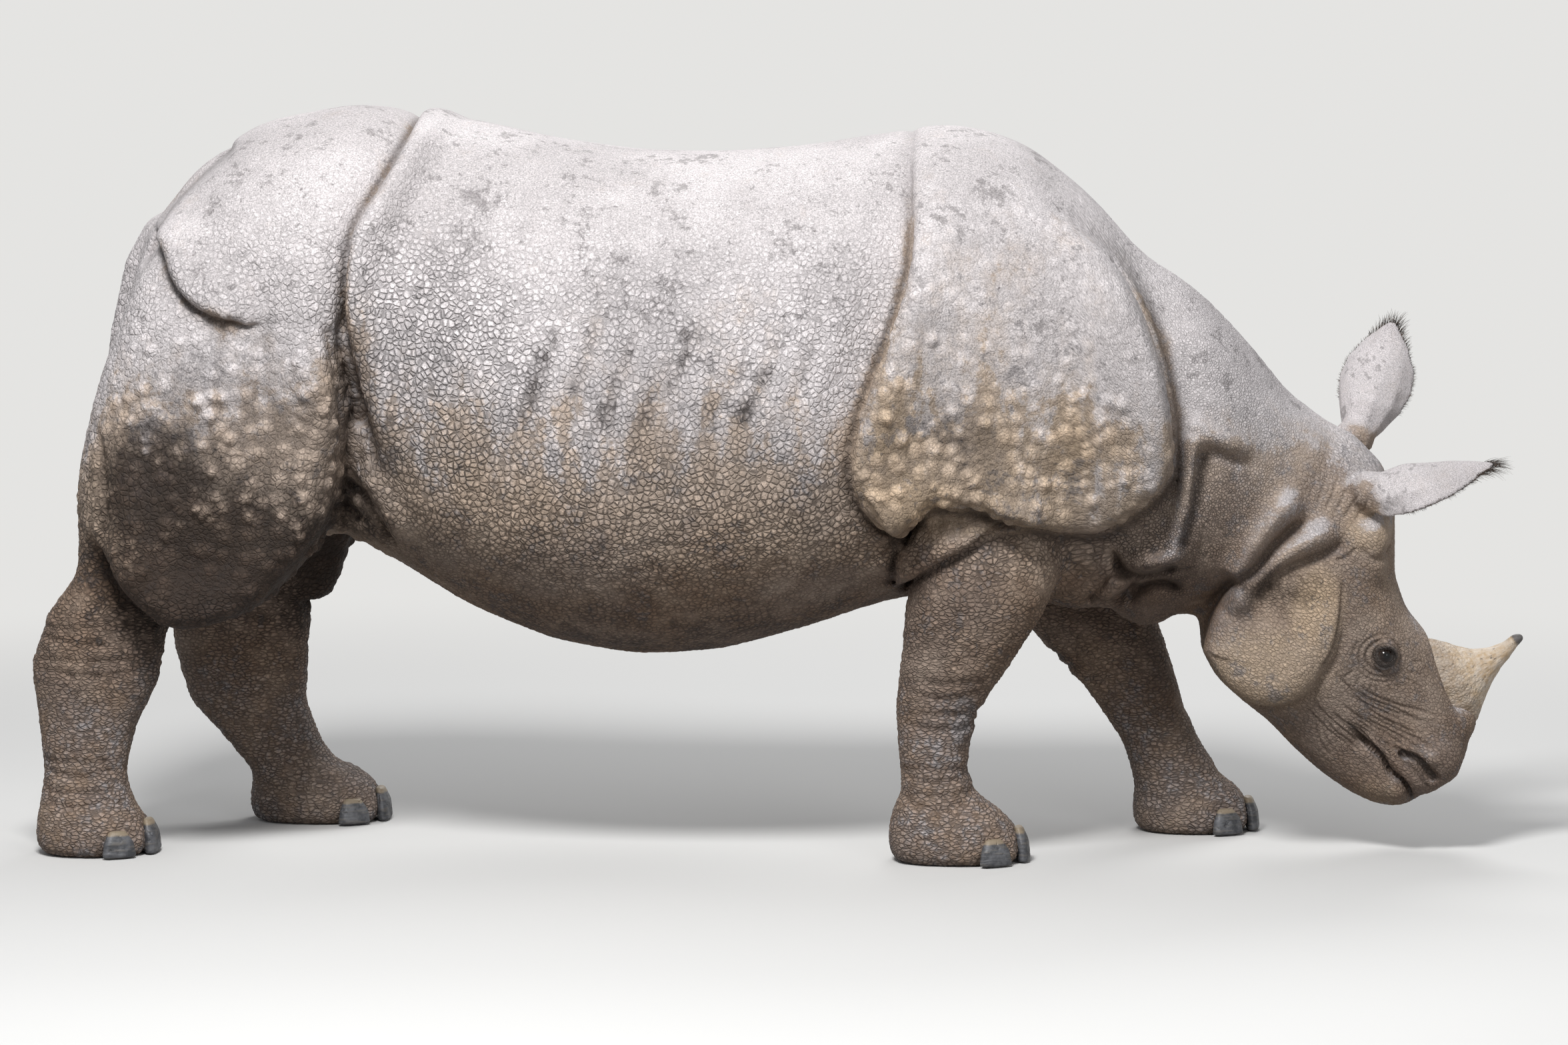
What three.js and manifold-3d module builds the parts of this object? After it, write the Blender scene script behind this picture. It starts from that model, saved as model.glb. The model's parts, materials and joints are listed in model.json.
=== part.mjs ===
// Greater one-horned rhinoceros, life size, standing with its head lowered to graze.
// Millimetres. The animal faces +X, its left side faces +Y, +Z is up and the soles stand on Z = 0.

import * as THREE from 'three';
import Module from 'manifold-3d';

const wasm = await Module();
wasm.setup();

// ---------------------------------------------------------------- driving sizes
const WITHERS_HEIGHT = 1549;      // top of the shoulders
const RUMP_HEIGHT = 1587;         // top of the hips, the highest point
const BACK_HEIGHT = 1490;         // lowest point of the back between the two
const BELLY_HEIGHT = 405;         // lowest point of the belly
const BARREL_HALF_WIDTH = 470;    // widest half of the ribs
const HIP_HALF_WIDTH = 425;       // widest half of the hips
const SHOULDER_HALF_WIDTH = 420;  // widest half of the shoulder plate

const HEAD_HALF_WIDTH = 178;      // across the cheeks
const MUZZLE_HALF_WIDTH = 112;    // across the nostrils
const HORN_HALF_WIDTH = 60;       // across the foot of the horn
const EYE_RADIUS = 21;
const EAR_HALF_WIDTH = 84;
const EAR_WALL = 9;
const EAR_WRAP_FOOT = 2.2;        // half angle that the ear's leaf curls round at its foot, radians
const EAR_WRAP_TIP = 1.0;         // the same over its outer half
const EAR_STALK = 44;             // radius of the fleshy stalk at the foot of the ear

const HIND_TRACK = 250;           // middle plane of the animal to the middle of a hind foot
const FORE_TRACK = 235;           // the same for a fore foot
const FOOT_HALF_WIDTH = 118;
const NAIL_HALF_WIDTH = 46;
const NAIL_HEIGHT = 66;

const TAIL_LENGTH = 640;
const GAP = 0.3;                  // clear space left between neighbouring parts

const FAR = 4000;                 // larger than the animal, for the cutting blocks

// ---------------------------------------------------------------- mesh helpers

// Closed surface from vertices and triangles, turned so its faces point outward.
function closedSolid(vertices, triangles) {
  let volume = 0;
  for (const [a, b, c] of triangles) {
    volume += vertices[a].dot(new THREE.Vector3().crossVectors(vertices[b], vertices[c]));
  }
  const order = volume > 0 ? [0, 1, 2] : [0, 2, 1];
  const vertProperties = new Float32Array(vertices.length * 3);
  vertices.forEach((vertex, i) => vertex.toArray(vertProperties, i * 3));
  const triVerts = new Uint32Array(triangles.flatMap((t) => order.map((k) => t[k])));
  return new wasm.Manifold(new wasm.Mesh({ numProp: 3, vertProperties, triVerts }));
}

// Closed three.js geometry as a solid, its doubled vertices joined.
function solidFromGeometry(geometry) {
  const position = geometry.getAttribute('position');
  const index = geometry.getIndex();
  const found = new Map();
  const vertices = [];
  const place = [];
  for (let i = 0; i < position.count; i += 1) {
    const point = new THREE.Vector3().fromBufferAttribute(position, i);
    const key = point.toArray().map((value) => Math.round(value * 1000)).join(' ');
    if (!found.has(key)) {
      found.set(key, vertices.length);
      vertices.push(point);
    }
    place.push(found.get(key));
  }
  const triangles = [];
  const corners = index ? index.count : position.count;
  for (let i = 0; i < corners; i += 3) {
    const corner = [0, 1, 2].map((k) => place[index ? index.getX(i + k) : i + k]);
    if (new Set(corner).size === 3) {
      triangles.push(corner);
    }
  }
  return closedSolid(vertices, triangles);
}

function ringMiddle(ring) {
  return ring.reduce((sum, point) => sum.add(point), new THREE.Vector3()).divideScalar(ring.length);
}

// End faces of a ring round its middle.
function fanCap(start, around, middle) {
  const triangles = [];
  for (let i = 0; i < around; i += 1) {
    triangles.push([middle, start + ((i + 1) % around), start + i]);
  }
  return triangles;
}

// End faces of a crescent ring, whose second half runs back beside the first.
function crescentCap(start, around) {
  const triangles = [];
  for (let i = 0; i + 1 < around / 2; i += 1) {
    const a = start + i;
    const b = start + around - 1 - i;
    triangles.push([a, b, b - 1], [a, b - 1, a + 1]);
  }
  return triangles;
}

// Surface through rings of equal point count, closed at both ends.
function skinRings(rings, crescent = false) {
  const around = rings[0].length;
  const vertices = rings.flat();
  const triangles = [];
  for (let r = 0; r + 1 < rings.length; r += 1) {
    for (let i = 0; i < around; i += 1) {
      const j = (i + 1) % around;
      const a = r * around;
      const b = a + around;
      triangles.push([a + i, a + j, b + j], [a + i, b + j, b + i]);
    }
  }
  for (const end of [0, rings.length - 1]) {
    const start = end * around;
    const faces = crescent
      ? crescentCap(start, around)
      : fanCap(start, around, vertices.push(ringMiddle(rings[end])) - 1);
    triangles.push(...faces.map(([a, b, c]) => (end === 0 ? [a, b, c] : [a, c, b])));
  }
  return closedSolid(vertices, triangles);
}

// Catmull-Rom value at a fractional position in a list.
function smoothAt(values, position) {
  const last = values.length - 1;
  const i = Math.min(Math.floor(position), last - 1);
  const t = position - i;
  const p1 = values[i];
  const p2 = values[i + 1];
  const p0 = i > 0 ? values[i - 1] : 2 * p1 - p2;
  const p3 = i + 2 <= last ? values[i + 2] : 2 * p2 - p1;
  const a = 2 * p1;
  const b = p2 - p0;
  const c = 2 * p0 - 5 * p1 + 4 * p2 - p3;
  const d = 3 * p1 - p0 - 3 * p2 + p3;
  return 0.5 * (a + b * t + c * t * t + d * t * t * t);
}

// One cross-section: it spans from `top` to `bottom` in the side view ([x, z] each)
// and `half` to either side of `y`. `widest` is how far down from `top` the widest level lies.
function section(top, bottom, half, { widest = 0.5, y = 0, power = 2.2 } = {}) {
  return [top[0], top[1], bottom[0], bottom[1], half, widest, y, power];
}

// Points round one cross-section, `grow` larger all round.
function sectionRing(values, around, grow) {
  const [topX, topZ, bottomX, bottomZ, half, widest, y, power] = values;
  const top = new THREE.Vector3(topX, y, topZ);
  const bottom = new THREE.Vector3(bottomX, y, bottomZ);
  const middle = top.clone().lerp(bottom, widest);
  const reach = new THREE.Vector3().subVectors(bottom, top).normalize().multiplyScalar(grow);
  top.sub(reach);
  bottom.add(reach);
  const ring = [];
  for (let i = 0; i < around; i += 1) {
    const angle = (i / around) * 2 * Math.PI;
    const rise = Math.sin(angle);
    const side = Math.cos(angle);
    const end = rise > 0 ? top : bottom;
    const along = Math.abs(rise) ** (2 / power);
    const across = Math.sign(side) * Math.abs(side) ** (2 / power) * (half + grow);
    const point = middle.clone().lerp(end, along);
    ring.push(point.setY(y + across));
  }
  return ring;
}

// Moves an end ring `distance` away from the ring next to it.
function lengthen(end, next, distance) {
  const outward = ringMiddle(end).sub(ringMiddle(next)).normalize();
  end.forEach((point) => point.addScaledVector(outward, distance));
}

// Body swept through cross-sections.
function loft(sections, { rings = 16, around = 24, grow = 0 } = {}) {
  const made = [];
  for (let r = 0; r < rings; r += 1) {
    const position = (r / (rings - 1)) * (sections.length - 1);
    const values = sections[0].map((_, field) => smoothAt(sections.map((s) => s[field]), position));
    made.push(sectionRing(values, around, grow));
  }
  lengthen(made[0], made[1], grow);
  lengthen(made[rings - 1], made[rings - 2], grow);
  return skinRings(made);
}

// Smooth closed curve through a few [x, z] corners, cut straight through the animal between two Y levels.
function sidePrism(corners, fromY, toY, steps = 36) {
  const curve = new THREE.CatmullRomCurve3(corners.map(([x, z]) => new THREE.Vector3(x, 0, z)), true);
  const outline = curve.getPoints(steps).slice(0, steps);
  return skinRings([fromY, toY].map((y) => outline.map((p) => new THREE.Vector3(p.x, y, p.z))));
}

// Ellipsoid, tilted in the side view by `lean` radians.
function ellipsoid([x, y, z], [rx, ry, rz], lean = 0, detail = 16) {
  const geometry = new THREE.SphereGeometry(1, detail, Math.round(detail * 0.6));
  geometry.scale(rx, ry, rz);
  geometry.rotateY(lean);
  geometry.translate(x, y, z);
  return solidFromGeometry(geometry);
}

// Block filling everything on the far side of a plane; `normal` is an [x, z] direction in the side view.
function beyond([x, z], [nx, nz], inset = 0) {
  const angle = Math.atan2(nz, nx);
  const geometry = new THREE.BoxGeometry(FAR, FAR, FAR);
  geometry.translate(FAR / 2 + inset, 0, 0);
  geometry.rotateY(-angle);
  geometry.translate(x, 0, z);
  return solidFromGeometry(geometry);
}

function box([x0, x1], [y0, y1], [z0, z1]) {
  const geometry = new THREE.BoxGeometry(x1 - x0, y1 - y0, z1 - z0);
  geometry.translate((x0 + x1) / 2, (y0 + y1) / 2, (z0 + z1) / 2);
  return solidFromGeometry(geometry);
}

const join = (solids) => solids.reduce((sum, solid) => sum.add(solid));

// ---------------------------------------------------------------- trunk

// Ribs and belly, from inside the hips to inside the shoulders.
function barrel() {
  const rib = BARREL_HALF_WIDTH;
  return loft([
    section([-1100, 1500], [-1100, 720], rib - 140, { widest: 0.48 }),
    section([-930, 1545], [-930, 670], rib - 90, { widest: 0.5 }),
    section([-780, 1574], [-780, 588], rib - 46, { widest: 0.52 }),
    section([-600, 1548], [-600, 482], rib - 10, { widest: 0.54 }),
    section([-400, 1504], [-400, 420], rib, { widest: 0.55 }),
    section([-200, BACK_HEIGHT], [-200, BELLY_HEIGHT], rib, { widest: 0.55 }),
    section([0, 1496], [0, 446], rib - 14, { widest: 0.54 }),
    section([180, 1520], [180, 508], rib - 42, { widest: 0.53 }),
    section([320, WITHERS_HEIGHT - 5], [320, 545], rib - 74, { widest: 0.52 }),
    section([480, 1510], [480, 570], rib - 120, { widest: 0.52 }),
    section([640, 1400], [640, 590], rib - 160, { widest: 0.52 }),
  ], { rings: 12, around: 22 });
}

// Hips and buttocks, their slices fanning round from upright to nearly level behind.
// The armour over them ends in front at an upright fold.
function hips() {
  const hip = HIP_HALF_WIDTH;
  const body = loft([
    section([-700, RUMP_HEIGHT - 18], [-700, 660], hip + 18, { widest: 0.46 }),
    section([-880, RUMP_HEIGHT + 1], [-900, 670], hip + 8, { widest: 0.46 }),
    section([-1062, 1571], [-1050, 660], hip - 12, { widest: 0.46 }),
    section([-1199, 1488], [-1130, 650], hip - 40, { widest: 0.46 }),
    section([-1305, 1385], [-1200, 650], hip - 78, { widest: 0.46 }),
    section([-1360, 1260], [-1260, 650], hip - 115, { widest: 0.46 }),
    section([-1390, 1120], [-1310, 660], hip - 150, { widest: 0.46 }),
    section([-1396, 960], [-1345, 680], hip - 200, { widest: 0.46 }),
    section([-1392, 840], [-1370, 740], hip - 300, { widest: 0.46 }),
  ], { rings: 8, around: 18 });
  const outline = [
    [-745, 1700], [-767, 1486], [-816, 1388], [-862, 1262], [-868, 1128], [-852, 980],
    [-824, 810], [-850, 700], [-1000, 600], [-1700, 600], [-1700, 1700],
  ];
  return body.intersect(sidePrism(outline, -FAR, FAR, 20));
}

// Thick plate hanging over the upper hind leg, with a rounded lower edge.
function thighPlate(side) {
  const y = side * 268;
  const body = loft([
    section([-960, 1330], [-1290, 1330], 105, { y: side * 232 }),
    section([-915, 1200], [-1346, 1200], 152, { y: side * 258 }),
    section([-880, 1060], [-1402, 1060], 166, { y }),
    section([-872, 930], [-1440, 930], 172, { y }),
    section([-880, 800], [-1470, 800], 168, { y }),
    section([-915, 680], [-1478, 680], 158, { y }),
    section([-985, 580], [-1475, 580], 146, { y: side * 262 }),
    section([-1060, 480], [-1470, 480], 132, { y: side * 255 }),
  ], { rings: 7, around: 14 });
  const outline = [
    [-950, 1400], [-898, 1200], [-882, 1060], [-880, 930], [-900, 820], [-952, 690], [-1070, 560],
    [-1211, 492], [-1310, 545], [-1386, 660], [-1475, 740], [-1560, 900], [-1500, 1200], [-1300, 1400],
  ];
  return body.intersect(sidePrism(outline, Math.min(0, side * FAR), Math.max(0, side * FAR), 20));
}

// Shoulder plate, a cape thrown over the withers and both shoulders.
function shoulderPlate() {
  const shoulder = SHOULDER_HALF_WIDTH;
  const body = loft([
    section([80, 1506], [80, 520], shoulder + 38, { widest: 0.53 }),
    section([200, 1528], [200, 520], shoulder + 34, { widest: 0.53 }),
    section([310, WITHERS_HEIGHT], [310, 540], shoulder + 22, { widest: 0.53 }),
    section([420, WITHERS_HEIGHT - 5], [420, 560], shoulder + 6, { widest: 0.52 }),
    section([530, 1508], [530, 570], shoulder - 10, { widest: 0.5 }),
    section([640, 1433], [640, 580], shoulder - 36, { widest: 0.48 }),
    section([750, 1324], [750, 590], shoulder - 66, { widest: 0.46 }),
    section([860, 1232], [860, 600], shoulder - 104, { widest: 0.44 }),
    section([960, 1140], [960, 620], shoulder - 160, { widest: 0.42 }),
  ], { rings: 9, around: 22 });
  const outline = [
    [300, 1700], [312, 1430], [318, 1320], [286, 1218], [251, 1114], [206, 985], [176, 880],
    [180, 775], [215, 705], [262, 610], [300, 582], [380, 640], [510, 700], [645, 703],
    [754, 711], [830, 765], [856, 880], [828, 1047], [794, 1130], [750, 1235], [672, 1322],
    [585, 1375], [560, 1480], [560, 1700],
  ];
  return body.intersect(sidePrism(outline, -FAR, FAR, 28));
}

// ---------------------------------------------------------------- neck and head

function neck() {
  return loft([
    section([420, 1541], [420, 600], 350, { widest: 0.5 }),
    section([540, 1502], [560, 560], 348, { widest: 0.5 }),
    section([660, 1410], [690, 530], 334, { widest: 0.48 }),
    section([780, 1297], [800, 500], 300, { widest: 0.46 }),
    section([890, 1208], [870, 500], 268, { widest: 0.44 }),
    section([1000, 1094], [905, 500], 238, { widest: 0.42 }),
    section([1092, 978], [950, 500], 205, { widest: 0.42 }),
    section([1186, 908], [1000, 500], 176, { widest: 0.42 }),
  ], { rings: 8, around: 18 });
}

// Loose skin below the throat, gathered into a pouch between the fore legs and the jaw.
function throatPouch() {
  return join([
    ellipsoid([796, 0, 568], [84, 112, 110], 0.2, 8),
    ellipsoid([640, 0, 600], [220, 190, 90], 0.1, 8),
  ]);
}

// Strap of thick skin hanging round the neck in front of the shoulder.
function neckStrap(side) {
  return loft([
    section([925, 985], [858, 965], 26, { y: side * 196 }),
    section([935, 900], [850, 890], 42, { y: side * 232 }),
    section([932, 800], [842, 800], 50, { y: side * 232 }),
    section([915, 700], [825, 715], 50, { y: side * 214 }),
    section([880, 610], [800, 650], 46, { y: side * 176 }),
    section([830, 560], [770, 610], 34, { y: side * 118 }),
  ], { rings: 5, around: 7 });
}

// Skull and jaws from the poll to the lips, slices running from the brow to the jaw.
function skull() {
  const cheek = HEAD_HALF_WIDTH;
  const muzzle = MUZZLE_HALF_WIDTH;
  return loft([
    section([1150, 926], [980, 640], cheek - 36, { widest: 0.5, power: 2.3 }),
    section([1244, 880], [925, 560], cheek - 14, { widest: 0.52, power: 2.3 }),
    section([1308, 800], [903, 470], cheek - 4, { widest: 0.52, power: 2.35 }),
    section([1323, 712], [925, 390], cheek, { widest: 0.52, power: 2.4 }),
    section([1318, 610], [978, 332], cheek - 4, { widest: 0.46, power: 2.45 }),
    section([1342, 524], [1050, 276], cheek - 20, { widest: 0.42, power: 2.45 }),
    section([1396, 456], [1120, 204], cheek - 44, { widest: 0.42, power: 2.4 }),
    section([1448, 368], [1184, 150], muzzle, { widest: 0.44, power: 2.35 }),
    section([1484, 282], [1246, 112], muzzle, { widest: 0.5, power: 2.35 }),
    section([1480, 222], [1300, 93], muzzle - 6, { widest: 0.5, power: 2.4 }),
    section([1466, 176], [1346, 96], muzzle - 30, { widest: 0.5, power: 2.3 }),
    section([1436, 146], [1384, 112], muzzle - 72, { widest: 0.5, power: 2.1 }),
  ], { rings: 14, around: 20 });
}

// Cheek bulge, brow ridge, temple and lip swellings that give the face its planes.
function faceSwellings(side) {
  return join([
    ellipsoid([1052, side * 118, 432], [148, 74, 128], 0.55, 10),
    ellipsoid([1250, side * 118, 640], [62, 48, 96], 0.2, 7),
    ellipsoid([1284, side * 108, 440], [58, 50, 52], 0.3, 8),
    ellipsoid([1404, side * 70, 205], [72, 56, 62], 0.7, 8),
  ]);
}

// Slit between the lips, sloping down and forward, and the two nostrils.
function mouthAndNostrils() {
  const slit = loft([
    section([1240, 266], [1228, 254], 300),
    section([1322, 176], [1310, 164], 300),
    section([1400, 110], [1388, 98], 300),
  ], { rings: 3, around: 6 });
  const core = ellipsoid([1290, 0, 190], [130, 78, 130], 0, 7);
  const nostril = (side) => ellipsoid([1396, side * 128, 176], [24, 26, 17], 0.9, 7);
  return join([slit.subtract(core), nostril(-1), nostril(1)]);
}

// The horn's slices run from its upper to its lower profile; it sweeps forward and up.
function horn(grow = 0) {
  const half = HORN_HALF_WIDTH;
  return loft([
    section([1388, 452], [1452, 262], half, { power: 2 }),
    section([1424, 444], [1498, 276], half - 1, { power: 2 }),
    section([1456, 434], [1512, 316], half - 12, { power: 2 }),
    section([1488, 428], [1527, 354], half - 25, { power: 2 }),
    section([1520, 431], [1546, 388], half - 37, { power: 2 }),
    section([1548, 442], [1566, 413], half - 46, { power: 2 }),
    section([1574, 457], [1582, 441], half - 53, { power: 2 }),
    section([1588, 459], [1591, 453], half - 57, { power: 2 }),
  ], { rings: 8, around: 12, grow });
}

function eye(side, grow = 0) {
  return ellipsoid([1296, side * 139, 430], [EYE_RADIUS, EYE_RADIUS, EYE_RADIUS].map((r) => r + grow), 0, 8);
}

// Cupped leaf: each slice is a crescent whose hollow faces `opening`. A larger `crest` puts the leaf's
// widest place nearer the tip.
function ear({ base, tip, opening, crest }, grow = 0) {
  const origin = new THREE.Vector3(...base);
  const along = new THREE.Vector3(...tip).sub(origin);
  const length = along.length();
  along.normalize();
  const open = new THREE.Vector3(...opening);
  open.addScaledVector(along, -open.dot(along)).normalize();
  const across = new THREE.Vector3().crossVectors(along, open);
  const rings = [];
  const slices = 7;
  const steps = 5;
  for (let s = 0; s < slices; s += 1) {
    const t = s / (slices - 1);
    const half = EAR_HALF_WIDTH * Math.max(0.1, Math.sin(Math.PI * (0.14 + 0.84 * t) ** crest));
    const wrap = THREE.MathUtils.lerp(EAR_WRAP_FOOT, EAR_WRAP_TIP, Math.min(1, t * 1.8));
    const radius = half / Math.min(1, Math.sin(Math.min(wrap, Math.PI / 2)));
    const wall = EAR_WALL * (1 - 0.45 * t);
    const centre = origin.clone().addScaledVector(along, t * length);
    centre.addScaledVector(open, radius * (1 + Math.cos(Math.min(wrap, Math.PI / 2))) / 2);
    const arc = (r, angle) => centre.clone()
      .addScaledVector(across, r * Math.sin(angle))
      .addScaledVector(open, -r * Math.cos(angle));
    const ring = [];
    for (let i = 0; i <= steps; i += 1) {
      ring.push(arc(radius + grow, THREE.MathUtils.lerp(-wrap, wrap, i / steps)));
    }
    for (let i = steps; i >= 0; i -= 1) {
      ring.push(arc(radius - wall - grow, THREE.MathUtils.lerp(-wrap, wrap, i / steps)));
    }
    rings.push(ring);
  }
  const root = origin.clone().addScaledVector(along, EAR_STALK * 0.4);
  const stalk = EAR_STALK + grow;
  return skinRings(rings, true).add(ellipsoid(root.toArray(), [stalk, stalk, stalk], 0.3, 7));
}

// ---------------------------------------------------------------- legs

// Each leg is given by level slices: height, front edge, rear edge and half width.
function leg(levels, y) {
  const sections = levels.map(([z, front, rear, half]) => (
    section([front, z], [rear, z], half, { y, power: 2.3 })
  ));
  return loft(sections, { rings: levels.length - 2, around: 12 });
}

function hindLegRight() {
  return leg([
    [900, -960, -1430, 120], [760, -1010, -1462, 128], [640, -1105, -1468, 116], [560, -1175, -1494, 104],
    [490, -1232, -1545, 96], [410, -1272, -1569, 92], [310, -1326, -1562, 84], [215, -1366, -1540, 80],
    [150, -1366, -1546, 84], [95, -1345, -1556, 98],
  ], -HIND_TRACK);
}

function hindLegLeft() {
  return leg([
    [900, -890, -1390, 120], [760, -905, -1400, 128], [640, -950, -1380, 116], [560, -985, -1366, 104],
    [480, -1022, -1362, 96], [400, -1046, -1356, 92], [300, -1060, -1336, 86], [225, -1046, -1288, 82],
    [150, -1010, -1212, 84], [95, -962, -1170, 98],
  ], HIND_TRACK);
}

function foreLegRight() {
  return leg([
    [860, 690, 240, 120], [740, 668, 258, 128], [660, 640, 278, 122], [590, 612, 286, 112],
    [510, 574, 286, 100], [430, 520, 280, 92], [350, 462, 268, 86], [270, 430, 268, 82],
    [200, 422, 280, 80], [140, 440, 280, 88], [95, 490, 264, 102],
  ], -FORE_TRACK);
}

function foreLegLeft() {
  return leg([
    [860, 740, 300, 120], [740, 762, 360, 128], [640, 790, 400, 122], [540, 806, 452, 112],
    [450, 820, 530, 102], [380, 846, 592, 94], [300, 870, 662, 88], [230, 894, 720, 84],
    [170, 926, 752, 84], [125, 960, 762, 92], [95, 990, 768, 102],
  ], FORE_TRACK);
}

// Broad foot standing flat, splayed a little toward the sole.
function foot(front, rear, y) {
  const half = FOOT_HALF_WIDTH;
  return loft([
    section([front - 14, 0], [rear + 14, 0], half - 12, { y, power: 2.5 }),
    section([front - 2, 16], [rear + 2, 16], half - 2, { y, power: 2.5 }),
    section([front - 4, 48], [rear - 4, 48], half, { y, power: 2.4 }),
    section([front - 34, 86], [rear + 4, 86], half - 12, { y, power: 2.3 }),
    section([front - 78, 124], [rear + 16, 124], half - 26, { y, power: 2.3 }),
  ], { rings: 4, around: 14 });
}

const FEET = [
  { name: 'hind_right', front: -1301, rear: -1560, y: -HIND_TRACK },
  { name: 'hind_left', front: -874, rear: -1184, y: HIND_TRACK },
  { name: 'fore_right', front: 550, rear: 250, y: -FORE_TRACK },
  { name: 'fore_left', front: 1038, rear: 764, y: FORE_TRACK },
];

// Toenail: a low broad shield leaning back against the toe, `turn` radians round from straight ahead.
function toenail({ front, y }, turn, size, grow = 0) {
  const half = NAIL_HALF_WIDTH * size + grow;
  const height = NAIL_HEIGHT * size;
  const sections = [
    section([9 + grow, 3 - grow], [-22 - grow, 3 - grow], half, { power: 2.6 }),
    section([5 + grow, height * 0.6], [-24 - grow, height * 0.6], half * 0.86, { power: 2.4 }),
    section([-8 + grow, height + grow], [-28 - grow, height + grow], half * 0.5, { power: 2.2 }),
  ];
  const radius = FOOT_HALF_WIDTH + 3;
  const rings = sections.map((values) => sectionRing(values, 8, 0));
  for (const ring of rings) {
    for (const point of ring) {
      point.x += radius;
      point.applyAxisAngle(new THREE.Vector3(0, 0, 1), turn);
      point.x += front - radius - 4;
      point.y += y;
    }
  }
  return skinRings(rings);
}

const TOES = [
  { name: 'inner', turn: 1.02, size: 0.88 },
  { name: 'middle', turn: 0, size: 1.12 },
  { name: 'outer', turn: -1.02, size: 0.88 },
];

// ---------------------------------------------------------------- tail

function tail(grow = 0) {
  const length = TAIL_LENGTH;
  const rootZ = 1330;
  return loft([
    section([-1290, rootZ + 40], [-1300, rootZ - 70], 52),
    section([-1352, rootZ + 12], [-1330, rootZ - 60], 50),
    section([-1404, rootZ - 78], [-1352, rootZ - 100], 42),
    section([-1440, rootZ - length * 0.36], [-1385, rootZ - length * 0.38], 33),
    section([-1462, rootZ - length * 0.6], [-1418, rootZ - length * 0.61], 26),
    section([-1470, rootZ - length * 0.82], [-1434, rootZ - length * 0.83], 23),
    section([-1468, rootZ - length * 0.97], [-1440, rootZ - length * 0.97], 22),
    section([-1460, rootZ - length], [-1448, rootZ - length], 10),
  ], { rings: 8, around: 7, grow });
}

// Groove between the buttocks where the tail lies.
function tailGroove() {
  return loft([
    section([-1500, 1290], [-1352, 1240], 44),
    section([-1540, 1100], [-1376, 1060], 60),
    section([-1540, 900], [-1380, 880], 66),
    section([-1540, 700], [-1340, 690], 74),
    section([-1540, 560], [-1300, 560], 86),
  ], { rings: 4, around: 8 });
}

// ---------------------------------------------------------------- assembly

const SKIN = 0x9b948c;
const EAR_SKIN = 0x958d84;
const HORN_COLOUR = 0x8b8270;
const NAIL_COLOUR = 0x4a4744;
const EYE_COLOUR = 0x2a1d14;

const group = new THREE.Group();
group.name = 'greater_one_horned_rhinoceros';

function addPart(name, solid, colour) {
  const mesh = solid.getMesh();
  const geometry = new THREE.BufferGeometry();
  geometry.setAttribute('position', new THREE.BufferAttribute(new Float32Array(mesh.vertProperties), 3));
  geometry.setIndex(new THREE.BufferAttribute(new Uint32Array(mesh.triVerts), 1));
  const material = new THREE.MeshStandardMaterial({ color: colour, roughness: 0.85, flatShading: true });
  const part = new THREE.Mesh(geometry, material);
  part.name = name;
  group.add(part);
}

const horns = { snug: horn(), loose: horn(GAP) };
const RIGHT_EAR = {
  base: [1246, -140, 776], tip: [1516, -196, 842], opening: [0.1, 0.35, -0.93], crest: 1.1,
};
const LEFT_EAR = {
  base: [1234, 122, 858], tip: [1318, 176, 1116], opening: [0.35, 0.93, 0.0], crest: 1.3,
};

const nails = FEET.flatMap((foot_) => TOES.map((toe) => {
  const outward = Math.sign(foot_.y);
  const turn = -outward * toe.turn;
  return {
    name: `toenail_${foot_.name}_${toe.name}`,
    snug: toenail(foot_, turn, toe.size),
    loose: toenail(foot_, turn, toe.size, GAP),
  };
}));

let flesh = join([
  barrel(), hips(), thighPlate(-1), thighPlate(1), shoulderPlate(),
  neck(), throatPouch(), neckStrap(-1), neckStrap(1),
  skull(), faceSwellings(-1), faceSwellings(1),
  hindLegRight(), hindLegLeft(), foreLegRight(), foreLegLeft(),
  ...FEET.map(({ front, rear, y }) => foot(front, rear, y)),
]);
flesh = flesh.subtract(tailGroove());
flesh = flesh.subtract(mouthAndNostrils());
flesh = flesh.subtract(horns.loose);
flesh = flesh.subtract(eye(-1, GAP));
flesh = flesh.subtract(eye(1, GAP));
flesh = flesh.subtract(ear(RIGHT_EAR, GAP));
flesh = flesh.subtract(ear(LEFT_EAR, GAP));
flesh = flesh.subtract(tail(GAP));
for (const nail of nails) {
  flesh = flesh.subtract(nail.loose);
}

// The flesh is parted by plane cuts, each leaving a gap.
const half = GAP / 2;
const HEAD_CUT = { at: [1020, 760], normal: [0.86, -0.51] };
const NECK_CUT = { at: [640, 900], normal: [1, 0] };
const CHEST_CUT = { at: [150, 900], normal: [1, 0] };
const LOIN_CUT = { at: [-720, 900], normal: [1, 0] };
const opposite = ([x, z]) => [-x, -z];
const front = (cut) => beyond(cut.at, cut.normal, half);
const behind = (cut) => beyond(cut.at, opposite(cut.normal), half);

const LEG_ZONES = {
  leg_hind_right: (g) => box([-1800 - g, -900 + g], [-FAR, -half + g], [-50, 596 + g]),
  leg_hind_left: (g) => box([-1800 - g, -860 + g], [half - g, FAR], [-50, 596 + g]),
  leg_fore_right: (g) => box([200 - g, 640 + g], [-FAR, -half + g], [-50, 500 + g]),
  leg_fore_left: (g) => join([
    box([500 - g, 902 + g], [half - g, FAR], [-50, 440 + g]),
    box([500 - g, 1060 + g], [half - g, FAR], [-50, 230 + g]),
  ]),
};

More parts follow.
